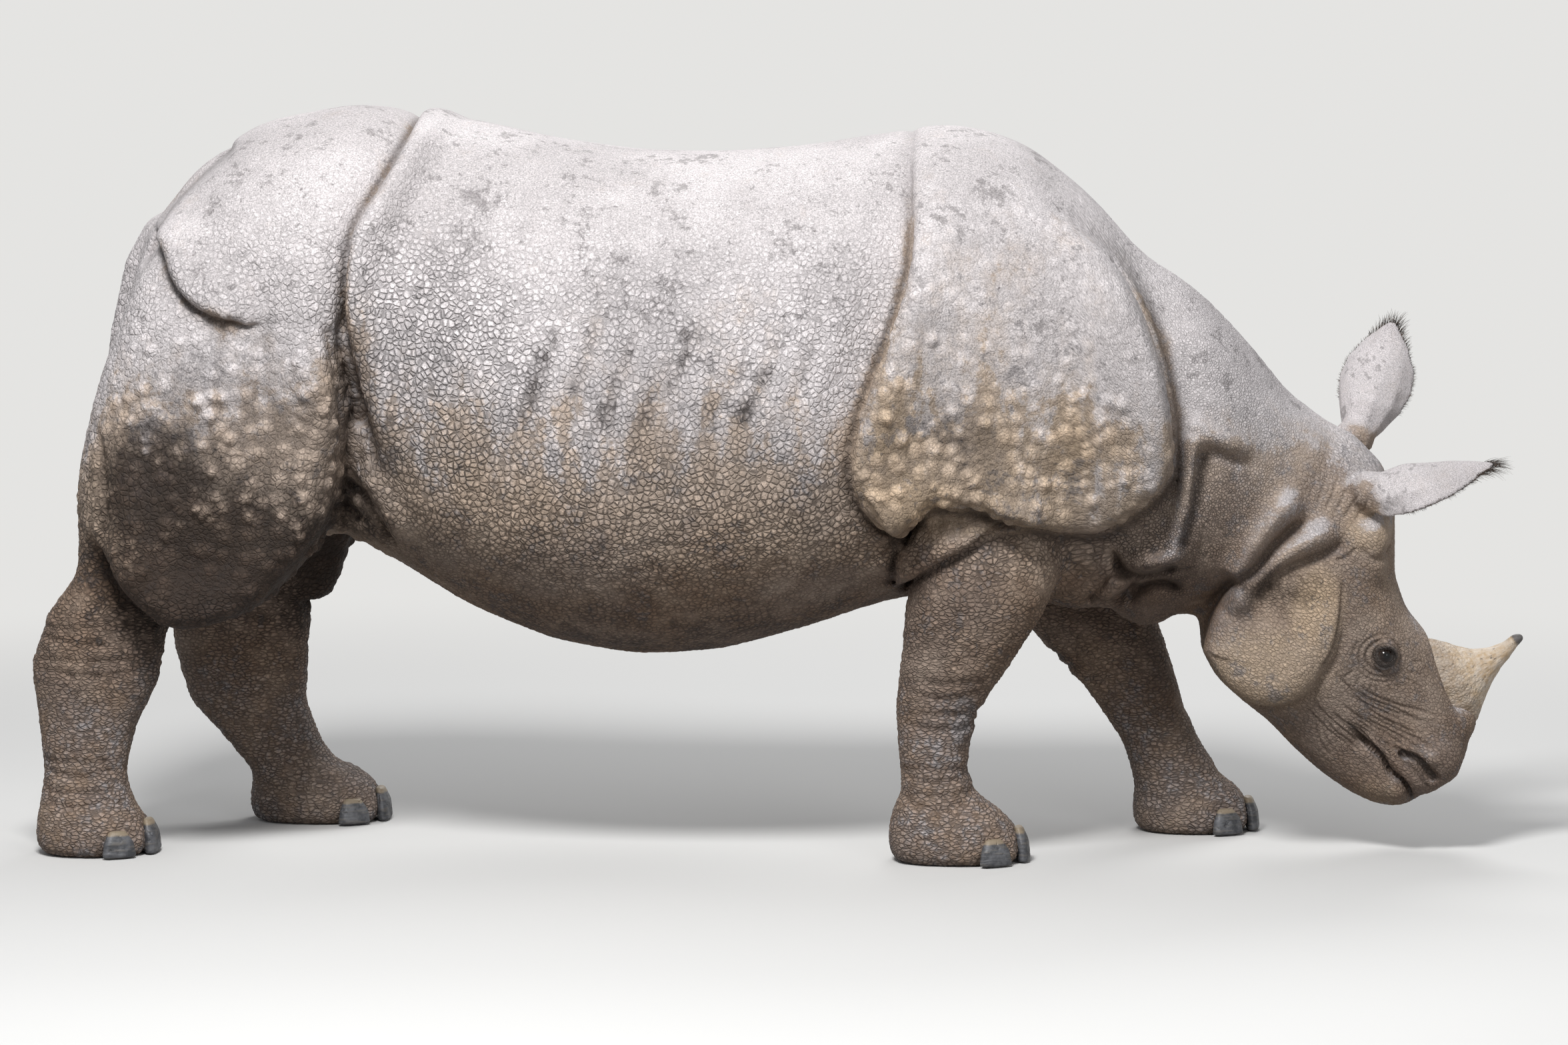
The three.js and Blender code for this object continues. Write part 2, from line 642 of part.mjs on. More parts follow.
let torso = flesh;
for (const [name, zone] of Object.entries(LEG_ZONES)) {
  addPart(name, flesh.intersect(zone(0)), SKIN);
  torso = torso.subtract(zone(GAP));
}
addPart('head', torso.intersect(front(HEAD_CUT)), SKIN);
addPart('neck', torso.intersect(behind(HEAD_CUT)).intersect(front(NECK_CUT)), SKIN);
addPart('shoulders', torso.intersect(behind(NECK_CUT)).intersect(front(CHEST_CUT)), SKIN);
addPart('barrel', torso.intersect(behind(CHEST_CUT)).intersect(front(LOIN_CUT)), SKIN);
addPart('hindquarters', torso.intersect(behind(LOIN_CUT)), SKIN);

addPart('tail', tail(), SKIN);
addPart('ear_right', ear(RIGHT_EAR), EAR_SKIN);
addPart('ear_left', ear(LEFT_EAR), EAR_SKIN);
addPart('horn', horns.snug, HORN_COLOUR);
addPart('eye_right', eye(-1), EYE_COLOUR);
addPart('eye_left', eye(1), EYE_COLOUR);
for (const nail of nails) {
  addPart(nail.name, nail.snug, NAIL_COLOUR);
}

// The middle of the whole outline, seen from above, becomes the origin.
const middle = new THREE.Box3().setFromObject(group).getCenter(new THREE.Vector3());
for (const part of group.children) {
  part.geometry.translate(-middle.x, -middle.y, 0);
}

export default group;
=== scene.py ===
"""Looks of the life-size greater one-horned rhinoceros: hide, eyes, horn, toenails, hair and stage."""

import json
import math
from functools import reduce
from types import SimpleNamespace

import bmesh
import bpy
import numpy as np
import openvdb as vdb
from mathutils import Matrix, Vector

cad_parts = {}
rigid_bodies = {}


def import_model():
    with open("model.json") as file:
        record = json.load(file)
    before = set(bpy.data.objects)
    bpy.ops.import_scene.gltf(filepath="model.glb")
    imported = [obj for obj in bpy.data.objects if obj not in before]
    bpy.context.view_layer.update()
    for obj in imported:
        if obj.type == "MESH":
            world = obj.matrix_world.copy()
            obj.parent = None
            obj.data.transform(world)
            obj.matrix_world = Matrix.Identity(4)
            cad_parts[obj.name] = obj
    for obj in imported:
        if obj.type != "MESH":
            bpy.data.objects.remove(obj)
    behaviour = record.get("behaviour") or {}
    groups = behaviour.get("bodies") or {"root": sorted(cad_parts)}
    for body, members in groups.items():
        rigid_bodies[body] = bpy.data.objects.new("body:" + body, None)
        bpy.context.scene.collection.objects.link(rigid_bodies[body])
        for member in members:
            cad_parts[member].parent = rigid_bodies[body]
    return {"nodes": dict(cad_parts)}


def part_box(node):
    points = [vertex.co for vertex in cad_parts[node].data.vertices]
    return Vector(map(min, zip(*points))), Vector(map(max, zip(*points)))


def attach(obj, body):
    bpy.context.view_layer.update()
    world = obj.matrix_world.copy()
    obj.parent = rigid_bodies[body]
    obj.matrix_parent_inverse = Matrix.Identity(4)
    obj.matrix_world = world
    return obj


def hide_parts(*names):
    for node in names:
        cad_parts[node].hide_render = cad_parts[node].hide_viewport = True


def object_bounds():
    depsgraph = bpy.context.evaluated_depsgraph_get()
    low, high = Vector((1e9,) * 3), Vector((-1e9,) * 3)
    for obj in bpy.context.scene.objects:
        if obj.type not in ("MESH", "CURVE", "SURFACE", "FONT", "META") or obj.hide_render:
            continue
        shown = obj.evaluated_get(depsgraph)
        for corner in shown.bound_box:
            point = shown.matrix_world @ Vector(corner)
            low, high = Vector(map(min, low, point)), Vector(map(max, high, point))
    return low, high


for leftover in list(bpy.data.objects):
    bpy.data.objects.remove(leftover)

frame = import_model()
CAD_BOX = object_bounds()

# ------------------------------------------------------------------ sizes, metres
VOXEL = 0.0053                              # grid the hide is modelled on
REACH = 0.080                               # how far from the surface the grid holds true distances
CAD_SHIFT = -0.0096                         # from the CAD drawing's own x to the frame's x
SMOOTH_TRUNK = 0.034                        # rounding of the broad body surfaces
SMOOTH_FINE = 0.012                         # rounding of head, legs and tail
SMOOTH_EAR = 0.0025
EAR_THICKEN = 0.0025
EAR_BLEND = 0.022                           # how softly an ear's base runs into the head
MAP_STEP = 0.004                            # side-view map of the folds
FINE_STEP = 0.0015                          # side-view map of the face's wrinkles
HORN_STEP = 0.0020
NAIL_STEP = 0.0025
EYE_RADIUS = 0.021
EAR_REACH = 0.125                           # nothing of an ear is farther from its axis
SEED = 7
CAMERA_AZIMUTH = 4.0                        # degrees ahead of square to the right side
CAMERA_ELEVATION = 5.6
CAMERA_DISTANCE = 12.0
CAMERA_LENS = 128.45                        # mm, on a 36 mm wide sensor

FLESH = [
    "head", "neck", "shoulders", "barrel", "hindquarters", "tail",
    "leg_hind_right", "leg_hind_left", "leg_fore_right", "leg_fore_left",
]
EARS = ["ear_right", "ear_left"]
EYES = {"eye_right": -1.0, "eye_left": 1.0}

# ------------------------------------------------------------------ the hide's lines, side view, drawing mm
# Each line is (x, z) points along a fold, smoothed into a curve. "Left" of a line is left of its direction.
SHOULDER_REAR = [(295, 1560), (298, 1430), (302, 1300), (290, 1220), (250, 1095), (205, 970), (180, 860),
                 (186, 795), (212, 738), (272, 690)]
SHOULDER_REAR_RIM = [(322, 1290), (296, 1165), (251, 1050), (222, 960), (212, 890), (236, 837)]
SHOULDER_FRONT = [(560, 1392), (650, 1335), (740, 1250), (802, 1135), (838, 1015), (856, 895), (850, 820),
                  (815, 770), (735, 710), (686, 690), (614, 696), (512, 723), (454, 746), (396, 755),
                  (345, 748), (302, 708), (272, 690)]
ELBOW_STRAP = [(262, 570), (320, 607), (380, 644), (440, 676), (500, 700), (585, 704)]
ELBOW_REAR = [(273, 695), (268, 640), (264, 575)]
HIP_FRONT = [(-755, 1610), (-758, 1545), (-782, 1475), (-812, 1415), (-855, 1335), (-869, 1250),
             (-869, 1143), (-850, 1030), (-825, 925), (-800, 800)]
THIGH_FRONT = [(-930, 1170), (-896, 1065), (-885, 1000), (-882, 935), (-892, 850), (-912, 745), (-950, 650),
               (-1010, 580), (-1065, 530), (-1130, 503), (-1215, 486), (-1268, 498), (-1320, 536),
               (-1362, 584), (-1396, 655), (-1425, 700)]
THIGH_REAR = [(-1415, 950), (-1383, 870), (-1376, 807), (-1373, 735), (-1380, 640)]
RUMP_LOW = [(-1330, 1330), (-1275, 1290), (-1250, 1240), (-1217, 1195), (-1170, 1160), (-1115, 1142),
            (-1065, 1134), (-1020, 1142)]
TAIL_MARGIN = [(-1345, 1240), (-1320, 1285), (-1278, 1375), (-1204, 1456), (-1140, 1510)]
FLANK_WEB = [(-880, 830), (-841, 769), (-805, 700), (-780, 640)]
NECK_STRAP = [(885, 915), (886, 840), (878, 750), (866, 685), (848, 645), (805, 630), (755, 632)]
NECK_STRAP_FRONT = [(925, 885), (912, 812), (900, 753), (885, 702), (866, 635)]
NECK_RIDGE = [(880, 928), (924, 905), (975, 885), (1030, 868)]
NECK_RIDGE_UNDER = [(925, 875), (975, 853), (1040, 842)]
NECK_LOW = [(742, 650), (743, 615), (787, 606), (865, 632)]
NECK_LOBE = [(676, 567), (706, 537), (757, 572), (766, 600)]
POUCH_TOP = [(745, 530), (775, 575), (830, 590), (880, 565)]
CHEEK_ROLL = [(1130, 782), (1088, 751), (1051, 707), (1019, 664), (994, 618), (975, 585)]
CHEEK_ROLL_UNDER = [(1150, 730), (1094, 692), (1062, 660), (1035, 622), (1006, 594), (975, 590)]
JAW_ROLL = [(1205, 708), (1142, 681), (1089, 648), (1046, 609), (1009, 571), (960, 515)]
JAW_ROLL_UNDER = [(1222, 678), (1186, 653), (1143, 634), (1100, 619), (1063, 592), (1020, 540)]
JAW_REAR = [(1000, 600), (965, 570), (935, 530), (915, 480), (905, 440)]
CHEEK_EDGE = [(905, 470), (925, 420), (963, 365), (1017, 327), (1081, 324), (1135, 350), (1165, 395),
              (1191, 435), (1205, 500), (1208, 585)]
TEMPLE_UNDER = [(1243, 668), (1262, 642), (1288, 640), (1304, 668)]
MOUTH = [(1222, 284), (1246, 258), (1269, 237), (1297, 208), (1312, 182), (1336, 164), (1352, 142),
         (1362, 112), (1366, 92)]
LOWER_LIP = [(1232, 245), (1260, 215), (1285, 188), (1300, 158), (1322, 138), (1338, 112)]
UPPER_LIP = [(1258, 268), (1300, 225), (1335, 190), (1365, 157), (1382, 132)]
LIP_FOLD = [(1330, 226), (1352, 198), (1380, 168), (1398, 140)]
NOSTRIL = [(1333, 219), (1355, 214), (1373, 203), (1388, 184), (1402, 166)]
NOSTRIL_RIM = [(1330, 245), (1352, 228), (1384, 212), (1425, 200)]
MUZZLE_HIGH = [(1195, 430), (1240, 374), (1298, 337), (1363, 316), (1428, 295), (1475, 270)]
MUZZLE_LOW = [(1120, 330), (1160, 285), (1205, 240), (1232, 205), (1262, 160), (1290, 120)]
EYE_AT = (1294, 430)
HORN_ROOT_AT = (1445, 370)
HORN_TIP_AT = (1591, 453)
HORN_COLLAR_AT = (1458, 276)
CHEEK_CREASE = [(1208, 600), (1204, 520), (1190, 450), (1160, 395)]
TEMPLE_CREASE = [(1235, 660), (1215, 640), (1190, 632)]
# Groups of level creases round knees, hocks and pasterns: front, rear, lowest and highest z, and how many.
LEG_CREASES = [
    (440, 275, 135, 215, 4), (470, 275, 300, 400, 4), (900, 740, 130, 215, 4), (-1375, -1545, 120, 215, 4),
    (-1290, -1560, 400, 500, 4), (-1040, -1230, 125, 215, 4), (-1020, -1360, 400, 490, 4),
]
# Ovals in side view: centre, half width and half height in drawing mm, and how far their edges fade.
THIGH = ((-1120, 830), 290, 340, 0.5)
KNOBS_BEHIND_ARM = ((300, 880), 150, 280, 0.9)
KNOBS_ON_SHOULDER = ((620, 850), 230, 170, 0.9)
PEBBLED_FLANK = ((-700, 1000), 190, 400, 0.6)
# Painted shade in the hollows of neck, throat and hip.
NECK_HOLLOW_SHADE = ((955, 790), 60, 130, 0.9)
THROAT_HOLLOW_SHADE = ((860, 560), 130, 70, 0.9)
HIP_HOLLOW_SHADE = ((-835, 1030), 45, 230, 0.9)
RUMP_DUST = ((-1100, 1290), 190, 170, 0.3)
CHEEK_DUST = ((1045, 400), 150, 90, 0.6)
FACE_DUST = ((1150, 510), 60, 130, 0.6)
TEMPLE_DUST = ((1262, 700), 55, 55, 0.7)
CHIN_DUST = ((1290, 130), 60, 45, 0.7)
THIGH_STAIN = ((-1265, 770), 150, 140, 0.8)
# Dark stain and painted shade, low on the thigh.
KNEE_STAIN_AND_SHADE = ((-1120, 600), 260, 180, 0.9)
JAW_STAIN = ((1065, 575), 95, 45, 0.8)
PLATE_STAIN = ((420, 900), 70, 90, 0.8)
# Painted shade under the throat.
THROAT_SHADE = ((800, 590), 150, 75, 0.9)


# ------------------------------------------------------------------ small maths
def smoothstep(low, high, value):
    t = np.clip((value - low) / ((high - low) or 1e-9), 0.0, 1.0)
    return t * t * (3.0 - 2.0 * t)


def drawn(points):
    """Side-view points from the drawing's millimetres to frame metres, as an array of x, z."""
    array = np.array(points, float) / 1000.0
    array[:, 0] += CAD_SHIFT
    return array


def smooth_curve(points, step):
    """Catmull-Rom curve through points, sampled about every `step` metres."""
    points = np.asarray(points, float)
    padded = np.vstack([2 * points[0] - points[1], points, 2 * points[-1] - points[-2]])
    out = []
    for i in range(len(points) - 1):
        p0, p1, p2, p3 = padded[i:i + 4]
        count = max(1, int(np.linalg.norm(p2 - p1) / step))
        for k in range(count):
            t = k / count
            out.append(0.5 * (2 * p1 + (p2 - p0) * t + (2 * p0 - 5 * p1 + 4 * p2 - p3) * t * t
                              + (3 * p1 - p0 - 3 * p2 + p3) * t ** 3))
    out.append(points[-1])
    return np.array(out)


def smooth_min(a, b, blend):
    """Union of two distance fields with a fillet of about `blend` metres."""
    h = np.clip(0.5 + 0.5 * (b - a) / blend, 0.0, 1.0)
    return b + (a - b) * h - blend * h * (1.0 - h)


def blur_axis(field, radius, axis):
    """Running mean over 2 * radius + 1 cells."""
    width = 2 * radius + 1
    pad = [(0, 0)] * 3
    pad[axis] = (radius + 1, radius)
    total = np.cumsum(np.pad(field, pad, mode="edge"), axis=axis, dtype=np.float32)
    size = field.shape[axis]
    high = [slice(None)] * 3
    low = [slice(None)] * 3
    high[axis] = slice(width, width + size)
    low[axis] = slice(0, size)
    return (total[tuple(high)] - total[tuple(low)]) / width


def blur(field, sigma, step):
    """Close to a Gaussian blur of `sigma` metres on cells of `step`: three running means along each axis."""
    radius = max(1, round((math.sqrt(4.0 * (sigma / step) ** 2 + 1.0) - 1.0) / 2.0))
    for axis in range(3):
        for _ in range(3):
            field = blur_axis(field, radius, axis)
    return field


def double(field, shape):
    """A field on every second cell back on every cell, by linear interpolation."""
    for axis in range(3):
        field = np.moveaxis(field, axis, 0)
        out = np.empty((shape[axis],) + field.shape[1:], np.float32)
        evens = field[:len(out[0::2])]
        out[0::2] = evens
        following = np.concatenate([field[1:], field[-1:]])[:len(out[1::2])]
        out[1::2] = (field[:len(out[1::2])] + following) / 2
        field = np.moveaxis(out, 0, axis)
    return np.ascontiguousarray(field)


# ------------------------------------------------------------------ side-view maps of the folds
def curve_distance(curve, x, z):
    """Distance to a curve in side view, positive on its left, and the share of its length reached."""
    best = np.full(np.broadcast(x, z).shape, 1e9, np.float32)
    side = np.ones_like(best)
    share = np.zeros_like(best)
    count = len(curve) - 1
    for i in range(count):
        (ax, az), (bx, bz) = curve[i], curve[i + 1]
        dx = bx - ax
        dz = bz - az
        px = x - ax
        pz = z - az
        t = np.clip((px * dx + pz * dz) / max(dx * dx + dz * dz, 1e-12), 0.0, 1.0)
        square = (px - t * dx) ** 2 + (pz - t * dz) ** 2
        closer = square < best
        best = np.where(closer, square, best)
        side = np.where(closer, np.sign(dx * pz - dz * px + 1e-12), side)
        share = np.where(closer, (i + t) / count, share)
    return np.sqrt(best) * side, share


class SideMap:
    """Values over the side view, in cells: how far the hide swells or is cut, and which way a cut leans."""

    def __init__(self, low, high, step):
        self.step = step
        self.low = np.array(low)
        self.x = np.arange(low[0], high[0], step)
        self.z = np.arange(low[1], high[1], step)
        shape = (len(self.x), len(self.z))
        # Two of these layers hold painted shade: in the cuts, and beside them.
        names = ["swell", "slot", "lean_x", "lean_z", "crease_shade", "shade"]
        self.layers = {name: np.zeros(shape, np.float32) for name in names}

    def near(self, curve, reach):
        """Slices of the cells within `reach` of a curve, with their signed distances and length shares."""
        low = np.clip(((curve.min(axis=0) - reach - self.low) / self.step).astype(int), 0, None)
        high = np.clip(((curve.max(axis=0) + reach - self.low) / self.step).astype(int) + 1, 0, None)
        window = (slice(low[0], min(high[0], len(self.x))), slice(low[1], min(high[1], len(self.z))))
        distance, share = curve_distance(curve, self.x[window[0]][:, None], self.z[window[1]][None, :])
        return window, distance, share

    def fold(self, points, plate=0, height=0.0, roll=0.02, spread=0.12, slot=0.0, width=0.006, lean=0.0,
             dip=0.0, fade=(0.1, 0.1)):
        """A fold along a line: one side is a raised plate with a rounded rim, next to a narrow cut.

        plate    +1 when the plate lies left of the line, -1 when right, 0 for a plain groove
        height   how far the rim stands up; it dies away over `spread`
        slot     depth of the cut, whose half width is `width`; `lean` is how far it runs under the plate
        dip      how far the hide beyond the cut sinks toward it
        fade     shares of the length over which the fold comes in and dies away
        """
        curve = smooth_curve(drawn(points), self.step * 3)
        window, distance, share = self.near(curve, spread + 0.02)
        strength = np.ones_like(share)
        if fade[0] > 0:
            strength = strength * smoothstep(0.0, fade[0], share)
        if fade[1] > 0:
            strength = strength * (1.0 - smoothstep(1.0 - fade[1], 1.0, share))
        ends = np.minimum(share, 1.0 - share) <= 0.0
        strength = np.where(ends, strength * np.exp(-(distance / (width * 2)) ** 2), strength)
        side = plate if plate else 1
        inward = distance * side
        rim = np.sqrt(np.clip(1.0 - (1.0 - np.clip(inward / roll, 0.0, 1.0)) ** 2, 0.0, 1.0))
        rise = height * rim * (1.0 - smoothstep(roll, spread, inward))
        outer = np.clip(-inward, 0.0, None)
        sink = dip * np.exp(-(outer / (spread * 0.45)) ** 2) * (inward <= 0)
        self.layers["swell"][window] += (rise - sink) * strength
        cut = np.exp(-((inward + width * 0.5) / width) ** 2) * strength
        self.layers["slot"][window] = np.maximum(self.layers["slot"][window], slot * cut)
        # Painted shade in the cut.
        groove = cut * min(1.0, slot / 0.030) * 0.8
        self.layers["crease_shade"][window] = np.maximum(self.layers["crease_shade"][window], groove)
        # Painted shade on both sides of the fold.
        fold_shade = np.exp(-(distance / 0.024) ** 2) * strength * min(1.0, slot / 0.035)
        self.layers["shade"][window] = np.maximum(self.layers["shade"][window], fold_shade)
        if lean:
            step_x = np.gradient(curve[:, 0])
            step_z = np.gradient(curve[:, 1])
            length = np.hypot(step_x, step_z) + 1e-9
            at = np.clip((share * (len(curve) - 1)).astype(int), 0, len(curve) - 1)
            nearby = np.exp(-(distance / 0.06) ** 2)
            for layer, toward in (("lean_x", -step_z), ("lean_z", step_x)):
                into_plate = (toward / length)[at] * side * lean
                now = self.layers[layer][window]
                self.layers[layer][window] = now + (into_plate - now) * nearby

    def ridge(self, points, height, width, fade=(0.25, 0.25)):
        """A rounded roll of hide along a line."""
        curve = smooth_curve(drawn(points), self.step * 3)
        window, distance, share = self.near(curve, width * 2.5)
        strength = smoothstep(0.0, fade[0], share) * (1.0 - smoothstep(1.0 - fade[1], 1.0, share))
        self.layers["swell"][window] += height * strength * np.exp(-(distance / width) ** 2)

    def bump(self, centre, half, height):
        """A low swelling with an oval outline."""
        (cx, cz), = drawn([centre])
        half_x, half_z = np.array(half) / 1000.0
        r = ((self.x[:, None] - cx) / half_x) ** 2 + ((self.z[None, :] - cz) / half_z) ** 2
        self.layers["swell"] += (height * np.exp(-r)).astype(np.float32)

    def read(self, name, x, z):
        """Bilinear values of a layer at side-view points."""
        layer = self.layers[name]
        u = np.clip((x - self.low[0]) / self.step, 0, len(self.x) - 1.001)
        v = np.clip((z - self.low[1]) / self.step, 0, len(self.z) - 1.001)
        i = u.astype(int)
        k = v.astype(int)
        u = (u - i).astype(np.float32)
        v = (v - k).astype(np.float32)
        top = layer[i, k + 1] * (1 - u) + layer[i + 1, k + 1] * u
        bottom = layer[i, k] * (1 - u) + layer[i + 1, k] * u
        return bottom * (1 - v) + top * v

    def inside(self, points, soft):
        """Share of each cell inside a closed line, with an edge `soft` metres wide."""
        curve = smooth_curve(np.vstack([drawn(points), drawn(points[:1])]), 0.02)
        x = self.x[:, None]
        z = self.z[None, :]
        odd = np.zeros((len(self.x), len(self.z)), bool)
        for (ax, az), (bx, bz) in zip(curve[:-1], curve[1:]):
            if az == bz:
                continue
            crosses = (az > z) != (bz > z)
            odd ^= crosses & (x < ax + (z - az) * (bx - ax) / (bz - az))
        share = odd.astype(np.float32)[:, :, None]
        return blur(share, soft, self.step)[:, :, 0] if soft > self.step else share[:, :, 0]


def left_shift(x, z):
    """How far forward the folds of the left side sit, as its legs stride ahead of the right ones."""
    fore = smoothstep(0.10, 0.30, x) * (1.0 - smoothstep(0.92, 1.05, x))
    hind = 1.0 - smoothstep(-0.80, -0.62, x)
    fore_step = np.interp(z, [0.50, 0.59, 0.74, 0.86, 1.15], [0.20, 0.16, 0.10, 0.05, 0.0])
    hind_step = np.interp(z, [0.45, 0.56, 0.64, 0.76, 0.90, 1.20], [0.22, 0.16, 0.12, 0.08, 0.04, 0.0])
    return fore * fore_step + hind * hind_step


def rib_lines():
    """Faint slanting ridges where the ribs show through the flank."""
    random = np.random.default_rng(SEED)
    lines = []
    for top in range(-440, 130, 76):
        top_x, top_z, low_x, low_z = random.normal((top + 110, 1220, top - 25, 930), (14, 45, 14, 55))
        middle = ((top_x + low_x) / 2 + random.normal(0, 9), (top_z + low_z) / 2)
        lines.append([(top_x, top_z), middle, (low_x, low_z)])
    return lines


def body_map():
    """The folds of trunk, neck and thighs."""
    low, high = CAD_BOX
    folds = SideMap((low[0] - 0.1, -0.05), (high[0] + 0.1, high[2] + 0.1), MAP_STEP)
    fold = folds.fold
    fold(SHOULDER_REAR, plate=1, height=0.026, roll=0.030, spread=0.15, slot=0.044, width=0.010, lean=0.6,
         dip=0.024, fade=(0.35, 0.0))
    fold(SHOULDER_REAR, slot=0.008, width=0.014, fade=(0.05, 0.3), spread=0.05)
    fold(SHOULDER_REAR_RIM, slot=0.007, width=0.007, spread=0.05)
    fold(SHOULDER_FRONT, plate=-1, height=0.027, roll=0.030, spread=0.15, slot=0.060, width=0.014, lean=0.9,
         dip=0.036, fade=(0.30, 0.0))
    fold(ELBOW_STRAP, plate=1, height=0.018, roll=0.024, spread=0.09, slot=0.026, width=0.009, lean=0.8,
         dip=0.010, fade=(0.05, 0.15))
    fold(ELBOW_REAR, plate=1, height=0.0, roll=0.02, spread=0.08, slot=0.030, width=0.010, lean=0.5)
    fold(HIP_FRONT, plate=1, height=0.030, roll=0.028, spread=0.10, slot=0.034, width=0.010, lean=0.7,
         dip=0.018, fade=(0.10, 0.2))
    fold(THIGH_FRONT, plate=-1, height=0.034, roll=0.040, spread=0.16, slot=0.050, width=0.014, lean=0.5,
         dip=0.044, fade=(0.15, 0.12))
    fold(THIGH_REAR, plate=1, height=0.006, roll=0.03, spread=0.08, slot=0.014, width=0.012, dip=0.0,
         fade=(0.3, 0.3))
    fold(RUMP_LOW, plate=1, height=0.025, roll=0.026, spread=0.13, slot=0.030, width=0.008, lean=0.9,
         dip=0.012, fade=(0.15, 0.3))
    fold(TAIL_MARGIN, slot=0.014, width=0.012, spread=0.06)
    fold(FLANK_WEB, plate=1, height=0.018, roll=0.022, spread=0.07, slot=0.020, width=0.011, fade=(0.3, 0.3))
    folds.ridge(NECK_STRAP, 0.036, 0.022, fade=(0.08, 0.15))
    fold(NECK_STRAP_FRONT, slot=0.030, width=0.014, spread=0.06, fade=(0.15, 0.15))
    folds.ridge(NECK_RIDGE, 0.020, 0.022, fade=(0.05, 0.35))
    fold(NECK_RIDGE_UNDER, slot=0.010, width=0.012, spread=0.06, fade=(0.05, 0.4))
    fold(NECK_LOW, slot=0.034, width=0.012, spread=0.07, fade=(0.15, 0.15))
    fold(NECK_LOBE, plate=1, height=0.026, roll=0.024, spread=0.08, slot=0.038, width=0.011,
         fade=(0.15, 0.15))
    fold(POUCH_TOP, slot=0.036, width=0.012, spread=0.06, fade=(0.2, 0.2))
    folds.ridge(CHEEK_ROLL, 0.036, 0.028, fade=(0.25, 0.1))
    fold(CHEEK_ROLL_UNDER, slot=0.022, width=0.013, spread=0.06, fade=(0.3, 0.1))
    folds.ridge(JAW_ROLL, 0.034, 0.026, fade=(0.2, 0.15))
    fold(JAW_ROLL_UNDER, slot=0.018, width=0.012, spread=0.06, fade=(0.15, 0.2))
    fold(JAW_REAR, plate=1, height=0.012, roll=0.028, spread=0.10, slot=0.032, width=0.012, lean=0.4,
         dip=0.020, fade=(0.25, 0.0))
    fold(CHEEK_EDGE, plate=1, height=0.013, roll=0.03, spread=0.12, slot=0.010, width=0.009,
         fade=(0.15, 0.25))
    folds.bump((1268, 692), (42, 34), 0.014)
    fold(TEMPLE_UNDER, slot=0.008, width=0.007, spread=0.04)
    folds.bump((1300, 130), (45, 32), 0.008)
    folds.ridge(UPPER_LIP, 0.013, 0.015, fade=(0.2, 0.1))
    folds.ridge(LOWER_LIP, 0.009, 0.016, fade=(0.3, 0.1))
    fold(MOUTH, slot=0.010, width=0.006, spread=0.04, fade=(0.25, 0.0))
    folds.ridge(NOSTRIL_RIM, 0.008, 0.014)
    for line in rib_lines():
        folds.ridge(line, 0.0040, 0.022, fade=(0.3, 0.3))
    for front, rear, low_z, high_z, count in LEG_CREASES:
        for k in range(count):
            z = low_z + (high_z - low_z) * k / (count - 1)
            sag = 10 * (-1) ** k
            fold([(rear, z + sag), ((front + rear) / 2, z - 12), (front, z + sag)], slot=0.0070, width=0.007,
                 spread=0.03, fade=(0.15, 0.15))
    folds.layers["plate"] = folds.inside(SHOULDER_REAR[1:] + SHOULDER_FRONT[:9][::-1], 0.02)
    return folds


def spaced(points, count):
    """Places at even steps along a smoothed line of drawing points."""
    line = smooth_curve(points, 12.0)
    reached = np.linspace(0, 1, len(line))
    return np.stack([np.interp(np.linspace(0, 1, count), reached, line[:, i]) for i in (0, 1)], axis=1)


def face_map():
    """The finer creases of the face, for the mesh's own points."""
    wrinkles = SideMap((0.80, 0.0), (1.62, 0.98), FINE_STEP)
    fold = wrinkles.fold
    random = np.random.default_rng(SEED)
    top = spaced(MUZZLE_HIGH, 7)
    bottom = spaced(MUZZLE_LOW, 7)
    for k in range(15):
        share = (k + 0.3 * random.random()) / 15
        line = top + (bottom - top) * share + random.normal(0.0, 2.6, top.shape)
        first = random.integers(0, 3)
        fold(line[first:first + 5], slot=0.0050, width=0.0030, spread=0.02, fade=(0.25, 0.25))
    eye_x, eye_z = EYE_AT
    for radius, start, stop, depth in ((37, -60, 300, 0.006), (51, 60, 330, 0.004), (64, 130, 300, 0.003)):
        turn = np.radians(np.linspace(start, stop, 16))
        ring = np.c_[eye_x + radius * np.cos(turn), eye_z + radius * 0.86 * np.sin(turn)]
        fold(ring, slot=depth, width=0.0032, spread=0.02, fade=(0.15, 0.15))
    for k in range(9):
        turn = math.radians(-150 + 17 * k + random.uniform(-5, 5))
        reach = random.uniform(85, 120)
        line = [(eye_x + r * math.cos(turn + 0.002 * (r - 60)), eye_z + r * math.sin(turn + 0.002 * (r - 60)))
                for r in (60, 75, reach)]
        fold(line, slot=0.003, width=0.0026, spread=0.02, fade=(0.3, 0.3))
    fold(LIP_FOLD, slot=0.006, width=0.004, spread=0.02)
    fold(MOUTH, slot=0.007, width=0.0035, spread=0.03, fade=(0.12, 0.0))
    fold(CHEEK_CREASE, slot=0.006, width=0.004, spread=0.03)
    fold(TEMPLE_CREASE, slot=0.005, width=0.004, spread=0.03)
    for k in range(5):
        fold([(1215 - 18 * k, 700 + 10 * k), (1240 - 20 * k, 735 + 12 * k), (1260 - 22 * k, 775 + 12 * k)],
             slot=0.0035, width=0.003, spread=0.02, fade=(0.3, 0.3))
    for k in range(4):
        r = 46 + 15 * k
        turn = np.radians(np.linspace(150 + 6 * k, 235, 8))
        fold(np.c_[1248 + r * np.cos(turn), 278 + r * np.sin(turn)], slot=0.0035, width=0.003, spread=0.02,
             fade=(0.2, 0.3))
    return wrinkles


